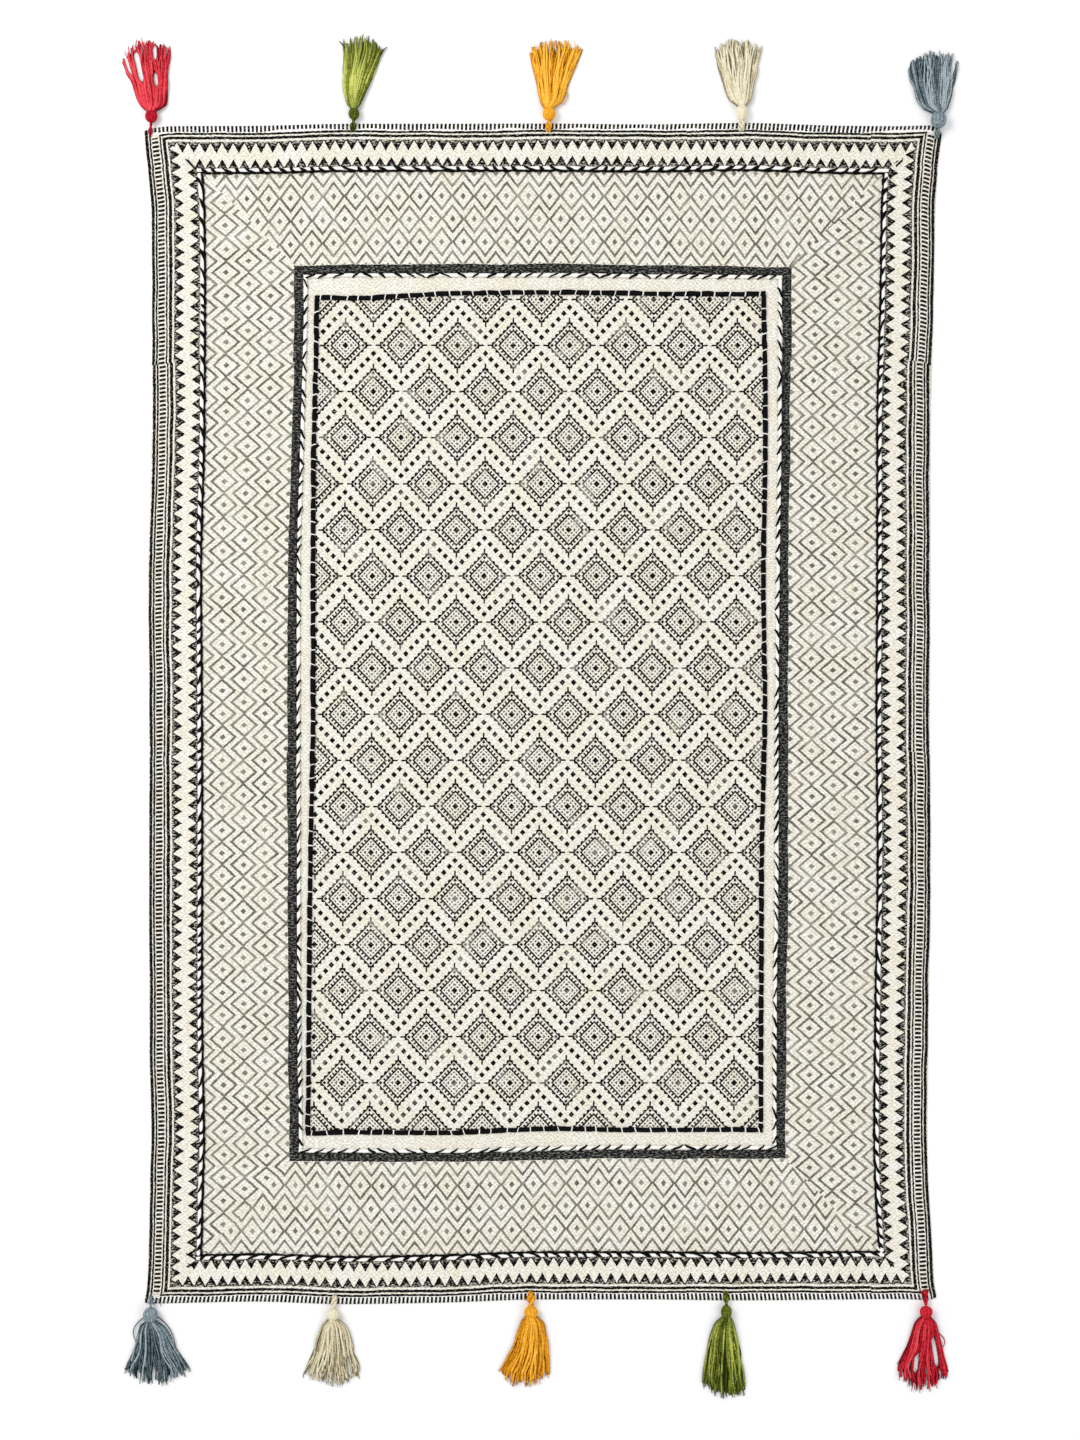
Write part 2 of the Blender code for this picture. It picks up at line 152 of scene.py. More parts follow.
# Skirts, in mm from the head's middle: both outlines at each station, and how long the cut ends reach
SKIRTS = table(
    "neck shoulder_left shoulder_right mid_left mid_right end_left end_right long_left long_mid long_right",
    (20.0, -20.0, 23.4, -32.5, 27.0, -50.0, 31.0, 90.0, 121.0, 108.0),
    (15.0, -13.4, 12.3, -18.7, 28.2, -18.0, 46.0, 114.0, 122.0, 100.0),
    (20.0, -14.0, 20.7, -21.5, 33.5, -33.0, 53.5, 103.0, 117.0, 102.0),
    (18.0, -19.8, 15.3, -32.0, 23.3, -45.5, 34.0, 101.0, 116.5, 105.0),
    (23.0, -25.0, 16.6, -41.0, 26.0, -48.0, 35.0, 88.6, 109.0, 97.0),
    (22.0, -19.3, 21.8, -28.4, 39.5, -44.5, 61.5, 89.0, 111.6, 87.0),
    (20.0, -18.9, 22.3, -31.0, 33.9, -48.5, 45.5, 97.0, 112.0, 98.0),
    (27.0, -18.0, 21.8, -29.5, 27.5, -53.0, 30.5, 95.0, 117.0, 100.0),
    (20.0, -18.7, 13.6, -30.4, 22.0, -39.5, 32.5, 113.0, 137.0, 125.0),
    (21.0, -18.0, 17.8, -29.5, 26.5, -49.0, 38.0, 90.0, 124.5, 99.7),
)
SHOULDER_AT = 20.0
MID_AT = 55.0
SKIRT_ROWS = table(
    "share top under",
    (0.00, 13.5, 4.2),
    (0.08, 15.0, 1.6),
    (0.24, 12.6, 0.3),
    (0.40, 10.6, 0.2),
    (0.60, 8.8, 0.2),
    (0.80, 7.4, 0.2),
    (1.00, 6.0, 0.2),
)
# How full a loop is along its length, as a share of its width
LOOP_FULL = table(
    "share wide",
    (0.00, 1.00),
    (0.22, 1.35),
    (0.50, 1.20),
    (0.78, 0.86),
    (1.00, 0.80),
)


def value_at(rows, column, at):
    """A column of a table over its first one, as a smooth curve that doesn't overshoot its rows."""
    places = np.array([row[0] for row in rows])
    values = np.array([getattr(row, column) for row in rows])
    steps = np.diff(places)
    slopes = np.diff(values) / steps
    tangents = np.empty(len(places))
    tangents[0], tangents[-1] = slopes[0], slopes[-1]
    before, after = slopes[:-1], slopes[1:]
    same = before * after > 0
    total = np.where(same, before + after, 1.0)
    tangents[1:-1] = np.where(same, 2 * before * after / total, 0.0)
    at = np.clip(at, places[0], places[-1])
    k = np.clip(np.searchsorted(places, at, side="right") - 1, 0, len(steps) - 1)
    t = (at - places[k]) / steps[k]
    return (
        values[k] * (1 + 2 * t) * (1 - t) ** 2
        + values[k + 1] * t * t * (3 - 2 * t)
        + steps[k] * t * (1 - t) * (tangents[k] * (1 - t) - tangents[k + 1] * t)
    )


def lie_at(rows, at):
    """How far each line lies outwards, in metres, at shares of the half length or width."""
    return (value_at(rows, column, at) * MM for column in rows[0]._fields[1:])


def between_knots(knots, moves, at):
    """Straight-line value between knots, for arrays."""
    moved = np.array(moves[0] + 0 * at)
    for a, b, move_a, move_b in zip(knots, knots[1:], moves, moves[1:]):
        share = np.clip((at - a) / (b - a), 0, 1)
        moved = np.where(at >= a, move_a + (move_b - move_a) * share, moved)
    return moved


def laid(u, v):
    """Where points of the cut cloth come to lie on the floor."""
    left_edge, left_band, right_band, right_edge = lie_at(SIDE_LIE, v / HALF_LENGTH)
    bottom_edge, bottom_band, top_band, top_edge = lie_at(END_LIE, u / HALF_WIDTH)
    line_u, band_u = HALF_WIDTH - SIDE_LINE_IN, HALF_WIDTH - SIDE_BAND_IN
    line_v, band_v = HALF_LENGTH - END_LINE_IN, HALF_LENGTH - END_BAND_IN
    # Beyond its own ends a side of the band no longer pulls the print with it
    free_u = np.clip((np.abs(v) - band_v) / (line_v - band_v), 0, 1)
    free_v = np.clip((np.abs(u) - band_u) / (line_u - band_u), 0, 1)

    def moved(at, line, band, half, low, low_band, high_band, high, free):
        knots = (-half, -line, -band, band, line, half)
        follows = between_knots(knots, (low, low, low_band, high_band, high, high), at)
        plain = between_knots((-half, -line, line, half), (low, low, high, high), at)
        return follows * (1 - free) + plain * free

    move_x = moved(u, line_u, band_u, HALF_WIDTH, -left_edge, -left_band, right_band, right_edge, free_u)
    move_y = moved(v, line_v, band_v, HALF_LENGTH, -bottom_edge, -bottom_band, top_band, top_edge, free_v)
    return u + move_x, v + move_y


# Soft ripples left in the cloth: middle and reach along the lie, direction, wavelength and height
RIPPLES = table(
    "x y turn reach wave high",
    (-0.42, 0.62, 24, 0.36, 0.17, 1.0),
    (0.38, 0.50, -38, 0.34, 0.21, 0.9),
    (-0.30, -0.05, 80, 0.42, 0.26, 0.8),
    (0.34, -0.42, 62, 0.38, 0.19, 1.0),
    (-0.40, -0.70, -30, 0.30, 0.16, 0.9),
    (0.05, 0.12, 5, 0.40, 0.24, 0.7),
)


def ripple_height(x, y):
    """How far the cloth's underside stands off the floor, in metres, at places on the floor."""
    high = np.zeros(np.broadcast(x, y).shape)
    for r in RIPPLES:
        turn = math.radians(r.turn)
        along = (x - r.x) * math.cos(turn) + (y - r.y) * math.sin(turn)
        far = ((x - r.x) ** 2 + (y - r.y) ** 2) / r.reach**2
        high = high + r.high * np.exp(-2 * far) * (0.5 + 0.5 * np.cos(math.tau * along / r.wave))
    return high * MM


def cloth_top(x, y):
    return ripple_height(x, y) + CLOTH


def linear(hex_colour):
    """Linear light from a six-digit sRGB colour."""
    shown = [int(hex_colour[i : i + 2], 16) / 255 for i in (0, 2, 4)]
    return tuple(c / 12.92 if c <= 0.04045 else ((c + 0.055) / 1.055) ** 2.4 for c in shown) + (1.0,)


# Sums that nodes do, by their signs: near is one within a distance of a value, and fold goes there and back
SUMS = {
    "+": "ADD", "-": "SUBTRACT", "*": "MULTIPLY", "/": "DIVIDE", "*+": "MULTIPLY_ADD", "<": "LESS_THAN",
    ">": "GREATER_THAN", "max": "MAXIMUM", "min": "MINIMUM", "abs": "ABSOLUTE", "near": "COMPARE",
    "fold": "PINGPONG", "sin": "SINE", "floor": "FLOOR", "fract": "FRACT", "sign": "SIGN",
}


def new_material(name):
    """The two functions that add a node to a new material and link its shader."""
    material = bpy.data.materials.new(name)
    material.use_nodes = True
    tree = material.node_tree
    shader = tree.nodes["Principled BSDF"]

    def join(socket, value):
        if isinstance(value, bpy.types.NodeSocket):
            tree.links.new(value, socket)
        else:
            socket.default_value = value

    def put(kind, *inputs, out=None, **named):
        """Adds a node. Its kind is a sum's sign or the node's name, with its operation after a colon.

        Inputs are values or sockets: in order, or by their names, which have a capital. Settings have none.
        Products and maxima may have more than two.
        """
        if kind in ("*", "max") and len(inputs) > 2:
            inputs = (put(kind, *inputs[:-1]), inputs[-1])
        kind, _, operation = ("Math:" + SUMS[kind] if kind in SUMS else kind).partition(":")
        node = tree.nodes.new("ShaderNode" + kind)
        if operation:
            node.operation = operation
        for key, value in named.items():
            if key[0].islower():
                setattr(node, key, value)
        for socket, value in zip([socket for socket in node.inputs if socket.enabled], inputs):
            join(socket, value)
        for key, value in named.items():
            if key[0].isupper():
                join(node.inputs[key], value)
        return node.outputs[out] if out else next(socket for socket in node.outputs if socket.enabled)

    def finish(**sockets):
        """Links or sets the shader's own sockets, by their names with underscores for spaces."""
        for socket, value in sockets.items():
            join(shader.inputs[socket.replace("_", " ")], value)
        return material

    return put, finish


# The print, in mm of the block's own scale: the blocks came out narrower across the cloth than along it
ACROSS = 1.06
END_ACROSS = 1.0623
LINE_X = (HALF_WIDTH - SIDE_LINE_IN) / MM * ACROSS
LINE_Y = (HALF_LENGTH - END_LINE_IN) / MM
BLOCK_LONG = 305.0
# Stripes along the edges: middle and half width, in mm inwards of the outer yarn line, outwards below zero
THICK_LINE = (-52.4, 2.2)
THIN_LINE = (-58.7, 1.75)
INNER_SIDE_LINE = (-75.4, 1.6)
OUTER_SIDE_LINE = (-81.0, 2.6)
SIDE_TICKS = (-67.3, 5.3)
LATTICE_BORDER = (75.2, 72.0)
BAND = (155.0, 7.2)
HEM_FROM = -60.0
HEM_TICKS_FROM = -61.4
TICK_PITCH = 6.6
# Two rows of sawteeth, tip to tip
TEETH_MIDDLE = -25.1
TEETH_REACH = 20.9
TOOTH_PITCH = 18.9
OUTER_TOOTH_TIP, OUTER_TOOTH_LONG = -29.0, 16.1
INNER_TOOTH_TIP, INNER_TOOTH_LONG = -20.4, 15.4
TOOTH_RIM = 2.5
# Grey lattice
LATTICE_PITCH = 35.8
LATTICE_ROW = 35.8
LOZENGE_WIDE, LOZENGE_HIGH = 16.9, 20.7
# Field: its repeat, and the parts of a diamond by their distance from its middle
FIELD_PITCH = 92.5
FIELD_ROW = 71.8
FIELD_TOP = 570.6
FIELD_LEAN = 0.0050
CHAIN_AT = (FIELD_PITCH / 2 + FIELD_ROW) / 2
CHAIN_STEP = FIELD_PITCH / 5
LINK = 4.9
DIAMOND_FROM, DIAMOND_TO = 33.4, 35.8
SERRATION = 6.1
DIAMOND_TICKS = (28.0, 2.9)
INNER_DIAMOND = (23.3, 1.9)
CORNER_DOT = (28.8, 3.0)
FRETS = (13.6, 5.6)
FRET_PITCH = 8.6
CENTRE = 5.4
SPIKE = (40.0, 3.8)


def printed_cotton():
    """Flat-woven cotton, beaten into ribs and block printed: matt, with mottled ink on a warm ground."""
    put, finish = new_material("block_printed_flat_woven_cotton")
    size = 2 * HALF_LENGTH / MM
    flat = put("UVMap", uv_map="print")
    flat = put("VectorMath:MULTIPLY_ADD", flat, (size, size, 0), (-size / 2, -size / 2, 0))
    as_it_lies = put("VectorMath:SCALE", put("TexCoord", out="Object"), 1 / MM)

    # Ink creeps along the threads, so that its edges are ragged, and the cloth gives a little under the block
    creep = put("TexNoise", flat, out="Color", Scale=0.26, Detail=2.0, Roughness=0.6)
    creep = put("VectorMath:SUBTRACT", creep, (0.5, 0.5, 0.5))
    drift = put("TexNoise", flat, out="Color", Scale=0.012, Detail=1.0)
    drift = put("VectorMath:SUBTRACT", drift, (0.5, 0.5, 0.5))
    astray = put("VectorMath:MULTIPLY", drift, (5, 5, 0))
    astray = put("VectorMath:MULTIPLY_ADD", creep, (3.4, 3.2, 0), astray)
    inked_at = put("VectorMath:ADD", flat, astray)
    v = put("SeparateXYZ", inked_at, out="Y")
    x = put("*", put("SeparateXYZ", inked_at), ACROSS)
    a = put("-", LINE_X, put("abs", x))
    b = put("-", LINE_Y, put("abs", v))
    side = put("<", a, b)
    at_top = put(">", v, 0.0)
    far_end = put("sign", v)
    # Along the ends the block was set down by eye across the cloth as it lies
    lies_at = put("VectorMath:MULTIPLY_ADD", astray, (0.6, 0.6, 0), as_it_lies)
    along_end = put("*", put("SeparateXYZ", lies_at), END_ACROSS)
    t = put("*+", side, put("-", v, along_end), along_end)
    # Each block was set down a little out of line with the last one
    block = put("floor", put("/", put("+", t, 62.0), BLOCK_LONG))
    block = put("*+", side, 11.0, block)
    jump = put("-", put("TexWhiteNoise", block, noise_dimensions="1D"), 0.5)
    a = put("*+", jump, 3.0, a)
    b = put("*+", jump, 2.0, b)
    d = put("min", a, b)

    # Lines along the edges, a little wider or narrower along the sides
    thick = put("near", d, THICK_LINE[0], put("*+", side, 0.5, THICK_LINE[1]))
    thin = put("near", d, THIN_LINE[0], put("*+", side, -0.4, THIN_LINE[1]))
    inner_side = put("*", put("near", a, *INNER_SIDE_LINE), put(">", b, -71.0))
    outer_side = put("near", a, *OUTER_SIDE_LINE)

    # Ticks: strokes across the hem and across the sides, a quarter further apart than the real ones, to show.
    # Those of the top hem are longer and shorter by turns, as the hem was rolled in unevenly
    ticked_at = put("VectorMath:MULTIPLY_ADD", creep, (1.1, 1.1, 0), flat)
    tick_x = put("*", put("SeparateXYZ", ticked_at), ACROSS)
    tick_v = put("SeparateXYZ", ticked_at, out="Y")
    shorter = put("MapRange", put("SeparateXYZ", drift), -0.12, 0.12, 2.9, -0.9)
    end_tick = put("<", put("fract", put("/", tick_x, TICK_PITCH)), 0.57)
    on_hem = put("<", put("*+", shorter, at_top, b), HEM_TICKS_FROM)
    end_tick = put("*", end_tick, on_hem, put(">", a, -72.0))
    side_tick = put("<", put("fract", put("/", tick_v, TICK_PITCH)), 0.60)
    side_tick = put("*", side_tick, put("near", a, *SIDE_TICKS), put(">", b, -56.0))

    # Two rows of sawteeth, tip to tip and half a pitch apart
    half_pitch = TOOTH_PITCH / 2
    end_along = put("*", t, put("*+", far_end, 0.0057, 1.0053))
    end_along = put("-", end_along, put("*+", far_end, 1.3, 5.7))
    tooth = put("*+", side, put("-", put("-", t, 1.3), end_along), end_along)
    tooth = put("fold", tooth, half_pitch)
    slope = half_pitch / OUTER_TOOTH_LONG
    outer_tooth = put("-", put("*+", d, -slope, OUTER_TOOTH_TIP * slope), tooth)
    slope = half_pitch / INNER_TOOTH_LONG
    inner_tooth = put("+", put("*+", d, slope, -INNER_TOOTH_TIP * slope - half_pitch), tooth)
    from_middle = put("abs", put("-", d, TEETH_MIDDLE))
    is_outer = put("<", d, -24.7)
    depth = put("*+", is_outer, put("-", outer_tooth, inner_tooth), inner_tooth)
    inside = put("*", put(">", depth, 0.0), put("<", from_middle, TEETH_REACH))
    rim = put("*", inside, put("<", depth, TOOTH_RIM))
    base = put("near", from_middle, 20.4, 1.3)
    # A short stroke in each of the two corners on the right, where the blocks met
    dart = put("near", put("-", a, b), put("*", at_top, -8.0), 2.6)
    dart_place = put("near", d, put("*+", at_top, -7.0, -14.0), 5.6)
    dart = put("*", dart, dart_place, put(">", x, 0.0))

    # Grey lattice of outlined lozenges, each with a small one in its middle
    phase_side = put("*+", put("sign", x), 5.6, -11.8)
    phase_end = put("*+", far_end, -4.2, 3.2)
    phase = put("*+", side, put("-", phase_side, phase_end), phase_end)
    along = put("-", put("*", t, put("*+", side, -0.0094, 1.0)), phase)
    along = put("fold", along, LATTICE_PITCH / 2)
    first_end = put("*+", far_end, 1.5, 4.7)
    first = put("*+", side, put("-", 1.9, first_end), first_end)
    down = put("fold", put("-", d, first), LATTICE_ROW)
    lozenge = put("*+", along, 1 / LOZENGE_WIDE, put("/", down, LOZENGE_HIGH))
    far_lozenge = LATTICE_PITCH / 2 / LOZENGE_WIDE + LATTICE_ROW / LOZENGE_HIGH
    lozenge = put("min", lozenge, put("-", far_lozenge, lozenge))
    lattice = put("max", put("near", lozenge, 1.0, 0.14), put("<", lozenge, 0.26))
    lattice = put("*", lattice, put("near", d, *LATTICE_BORDER))
    # Dark band, wider along the sides
    band_middle = put("*+", side, 0.4, BAND[0])
    band = put("near", d, band_middle, put("*+", side, 0.8, BAND[1]))

    # Field of serrated diamonds, with chains of small lozenges running in zigzags between their rows
    field_at = put("VectorMath:MULTIPLY_ADD", astray, (0.5, 0.5, 0), as_it_lies)
    field_y = put("SeparateXYZ", field_at, out="Y")
    field_x = put("*", put("SeparateXYZ", field_at), ACROSS)
    field_x = put("*+", field_y, -FIELD_LEAN, field_x)
    cell_x = put("fold", put("-", field_x, FIELD_PITCH / 2), FIELD_PITCH / 2)
    cell_y = put("fold", put("-", field_y, FIELD_TOP), FIELD_ROW)
    r1 = put("+", cell_x, cell_y)
    s1 = put("-", cell_x, cell_y)
    r2 = put("-", 2 * CHAIN_AT, r1)
    s2 = put("-", FIELD_PITCH / 2 - FIELD_ROW, s1)
    r = put("min", r1, r2)
    s = put("*+", put("<", r1, r2), put("-", s1, s2), s2)
    s_size = put("abs", s)
    serrated = put("*+", put("fold", s, SERRATION), 0.78, DIAMOND_TO)
    diamond = put("*", put(">", r, DIAMOND_FROM), put("<", r, serrated))
    chain = put("fold", put("+", s, CHAIN_AT), CHAIN_STEP / 2)
    link = put("<", put("max", chain, put("abs", put("-", r, CHAIN_AT))), LINK)
    # Ticks and frets are drawn one and a half times as far apart as the real ones, which are too fine to show
    stroke = put("fold", s, FRET_PITCH / 2)
    tick = put("*", put("<", stroke, 2.1), put("near", r, *DIAMOND_TICKS), put("<", s_size, 22.5))
    fret = put("<", put("fold", put("-", r, 10.2), 3.4), 1.6)
    fret = put("*", fret, put("<", stroke, 2.7), put("near", r, *FRETS), 0.9)
    dot_at, dot_size = CORNER_DOT
    dot = put("abs", put("-", s_size, dot_at))
    dot = put("<", put("max", put("abs", put("-", r, dot_at)), dot), dot_size)
    spike = put("*", put("near", r, *SPIKE), put("<", put("-", r, s_size), 2.8))
    inner_diamond = put("near", r, *INNER_DIAMOND)
    field = put("max", fret, diamond, link, tick, inner_diamond, dot, put("<", r, CENTRE), spike)
    in_field = put(">", put("Attribute", out="Fac", attribute_name="in_field"), 0.0)

    # How well the ink took: by motif, and thread by thread
    took = put("TexNoise", flat, Scale=0.022, Detail=2.0, Roughness=0.65)
    threads = put("VectorMath:MULTIPLY", flat, (0.20, 0.42, 0))
    skip = put("TexNoise", threads, Scale=1.0, Detail=2.0, Roughness=0.65)
    strength = put("MapRange", skip, 0.30, 0.42, 0.5, 1.0)
    faint = put("MapRange", took, 0.34, 0.43, 0.74, 1.0)
    tipped = put("MapRange", from_middle, 4.7, 20.4, 0.22, 0.0)
    mottle = put("MapRange", put("+", skip, tipped), 0.46, 0.54, 0.30, 1.0)
    black = put("*", put("max", inside, base), mottle)
    field = put("*", field, in_field, faint)
    black = put("max", black, thick, thin, inner_side, outer_side, end_tick, side_tick, dart, rim, field)
    black = put("*", black, strength)
    took = put("MapRange", took, 0.3, 0.6, 0.66, 1.0)
    grey = put("*", lattice, took, put("MapRange", skip, 0.34, 0.5, 0.7, 1.0))

    # The weave itself: weft ribs and warp columns 7 mm apart, three times as coarse as the real ones, to show
    beat = put("VectorMath:MULTIPLY", flat, (math.tau / 7.4, math.tau / 6.6, 0))
    cell = put("*", put("sin", put("SeparateXYZ", beat)), put("sin", put("SeparateXYZ", beat, out="Y")))
    grain = put("*+", cell, 0.35, put("MapRange", skip, 0.40, 0.60, 0.0, 1.0))

    # Ground, whiter hems where the cloth lies double, grey lattice, charcoal band and black over one another
    ground = put("Mix", grain, linear("D3D0C5"), linear("FBF9F1"), data_type="RGBA")
    warmth = put("MapRange", put("TexNoise", flat, Scale=0.02, Detail=3.0), 0.35, 0.65, 0.0, 1.0)
    ground = put("Mix", warmth, ground, linear("FCF8F0"), data_type="RGBA", blend_type="MULTIPLY")
    faded = put("MapRange", skip, 0.50, 0.64, 0.0, 1.0)
    charcoal = put("Mix", faded, linear("141415"), linear("7C7C77"), data_type="RGBA")
    hem = put("*", put("<", b, HEM_FROM), 0.7)
    layers = ((hem, linear("FFFFFD")), (grey, linear("605E55")), (band, charcoal), (black, linear("0B0B0C")))
    colour = ground
    for share, over in layers:
        colour = put("Mix", share, colour, over, data_type="RGBA")
    weave = put("*+", skip, 1.4, put("*", cell, 0.3))
    bump = put("Bump", Strength=0.5, Distance=0.0007, Height=weave)
    return finish(Base_Color=colour, Roughness=0.93, Specular_IOR_Level=0.06, Normal=bump)


def spun_yarn(name, dark, middle, light, ply, tip=None):
    """Spun cotton yarn, dyed in the hank: matt, a little fuzzy, with painted shade in the grooves between its
    plies and along the sides of its strands.
    """
    put, finish = new_material(name)
    along = put("UVMap", uv_map="along")
    around = put("SeparateXYZ", along, out="Y")
    twist = put("*+", put("SeparateXYZ", along), 1.0 / ply, around)
    ridge = put("fold", put("*", twist, 2.0), 0.5)
    tone = put("Attribute", out="Fac", attribute_name="tone")
    fuzz = put("TexNoise", put("TexCoord", out="Object"), Scale=260.0, Detail=3.0, Roughness=0.65)
    # Painted shade: each strand is darkest along its sides, where it lies against its neighbours, with a
    # slight painted highlight along its top
    painted_shade_around = put("sin", put("*", around, math.tau))
    # Painted shade: darker in the grooves between the plies and lighter on their ridges. The tone attribute
    # holds each strand's own tone and, in the fringes, the painted shade of the lower layers
    level = put("*+", ridge, 0.5, put("*", tone, 0.9))
    level = put("+", level, put("MapRange", painted_shade_around, 0.1, 0.95, -0.55, 0.10))
    level = put("+", level, put("MapRange", fuzz, 0.3, 0.7, -0.25, 0.25))
    low = put("MapRange", level, 0.0, 0.5, 0.0, 1.0)
    high = put("MapRange", level, 0.5, 1.1, 0.0, 1.0)
    shade = put("Mix", low, linear(dark), linear(middle), data_type="RGBA")
    shade = put("Mix", high, shade, linear(light), data_type="RGBA")
    if tip:
        # Darker by the head and towards the cut ends
        reach = put("Attribute", out="Fac", attribute_name="reach")
        near = put("MapRange", reach, 0.04, 0.34, 0.42, 0.0)
        tipped = put("max", near, put("MapRange", reach, 0.50, 0.95, 0.0, 0.50))
        shade = put("Mix", tipped, shade, linear(tip), data_type="RGBA")
    bump = put("Bump", Strength=0.6, Distance=0.0005, Height=put("*+", fuzz, 0.8, ridge))
    return finish(Base_Color=shade, Roughness=0.9, Specular_IOR_Level=0.06, Normal=bump)


MATERIALS = {
    "printed_cotton": printed_cotton(),
    "white_yarn": spun_yarn("white_cotton_roving", "D6D3CA", "F6F4EE", "FEFDFA", 14.0),
    "black_yarn": spun_yarn("black_cotton_yarn", "040405", "0C0C0D", "1C1C20", 7.0),
    "red_yarn": spun_yarn("red_cotton_yarn", "600512", "C82131", "EA565E", 8.0),
    "green_yarn": spun_yarn("green_cotton_yarn", "252E08", "7F8A30", "D2D670", 8.0, "465214"),
    "mustard_yarn": spun_yarn("mustard_cotton_yarn", "935400", "E6991B", "FFC74E", 8.0),
    "cream_yarn": spun_yarn("cream_cotton_yarn", "786F53", "CEC39F", "F6EFD6", 8.0),
    "grey_yarn": spun_yarn("grey_cotton_yarn", "1D2B32", "65767C", "B2BEC2", 8.0),
}


def placed(made, slot, *replaced):
    """Hands a finished mesh object to the frame."""
    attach(made, ROOT)
    if replaced:
        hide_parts(*replaced)
    return made


def new_mesh_object(name, points, faces, slot):
    mesh = bpy.data.meshes.new(name)
    mesh.from_pydata(points.tolist(), [], faces)
    mesh.materials.append(MATERIALS[slot])
    mesh.shade_smooth()
    made = bpy.data.objects.new(name, mesh)
    bpy.context.scene.collection.objects.link(made)
    return made


def corner_points(mesh):
    """The point at each face corner."""
    corners = np.empty(len(mesh.loops), np.int32)
    mesh.loops.foreach_get("vertex_index", corners)
    return corners


def write_on(mesh, uv_map, corners, **attributes):
    """Writes a UV map by face corner, and attributes by point."""
    layer = mesh.uv_layers.new(name=uv_map)
    layer.uv.foreach_set("vector", corners.astype(np.float32).ravel())
    for name, values in attributes.items():
        kept = mesh.attributes.new(name, "FLOAT", "POINT")
        kept.data.foreach_set("value", values.astype(np.float32))


def inner_side_at(side, v):
    inside = value_at(INNER_SIDE, "left" if side < 0 else "right", v / HALF_LENGTH) * MM
    return side * (HALF_WIDTH - SIDE_BAND_IN - inside)


def inner_end_at(end, u):
    inside = value_at(INNER_END, "bottom" if end < 0 else "top", u / HALF_WIDTH) * MM
    return end * (HALF_LENGTH - END_BAND_IN - inside)


def make_rug():
    """A grid of the cut cloth, laid where it lies, with its ripples and its thickness."""
    across = round(2 * HALF_WIDTH / WEAVE_STEP)
    along = round(2 * HALF_LENGTH / WEAVE_STEP)
    u, v = np.meshgrid(np.linspace(-1, 1, across + 1), np.linspace(-1, 1, along + 1))
    u, v = u * HALF_WIDTH, v * HALF_LENGTH
    # Round the corners by drawing the corner points in
    over_u = np.clip(np.abs(u) - (HALF_WIDTH - CORNER), 0, None)
    over_v = np.clip(np.abs(v) - (HALF_LENGTH - CORNER), 0, None)
    reach = np.hypot(over_u, over_v)
    keep = np.where(reach > CORNER, CORNER / np.maximum(reach, 1e-9), 1.0)
    u = np.sign(u) * (np.abs(u) - over_u * (1 - keep))
    v = np.sign(v) * (np.abs(v) - over_v * (1 - keep))
    x, y = laid(u, v)
    low = ripple_height(x, y)
    # The edges are pressed down and a little thinner
    edge = np.minimum(HALF_WIDTH - np.abs(u), HALF_LENGTH - np.abs(v))
    thick = CLOTH * (EDGE_SHARE + (1 - EDGE_SHARE) * np.clip(edge / CORNER, 0, 1))
    top = np.stack([x, y, low + thick], -1).reshape(-1, 3)
    under = np.stack([x, y, low], -1).reshape(-1, 3)
    index = np.arange(u.size).reshape(u.shape)
    upper = np.stack([index[:-1, :-1], index[:-1, 1:], index[1:, 1:], index[1:, :-1]], -1).reshape(-1, 4)
    lower = upper[:, ::-1] + u.size
    ring = np.concatenate([index[0, :-1], index[:-1, -1], index[-1, :0:-1], index[:0:-1, 0]])
    after = np.roll(ring, -1)
    rim = np.stack([ring, ring + u.size, after + u.size, after], -1)
    faces = np.concatenate([upper, lower, rim]).tolist()
    rug = new_mesh_object("printed_rug", np.concatenate([top, under]), faces, "printed_cotton")
    flat = np.stack([u, v], -1).reshape(-1, 2) / (2 * HALF_LENGTH) + 0.5
    inside = np.minimum.reduce([
        u - inner_side_at(-1, v),
        inner_side_at(1, v) - u,
        v - inner_end_at(-1, u),
        inner_end_at(1, u) - v,
    ])
    corners = np.concatenate([flat, flat])[corner_points(rug.data)]
    write_on(rug.data, "print", corners, in_field=np.tile(inside.ravel() / MM, 2))
    return placed(rug, "printed_cotton", "rug")


# How far the laid yarns sink into the cloth
SUNK = 0.3 * MM
Strand = namedtuple("Strand", "path wide high tone")


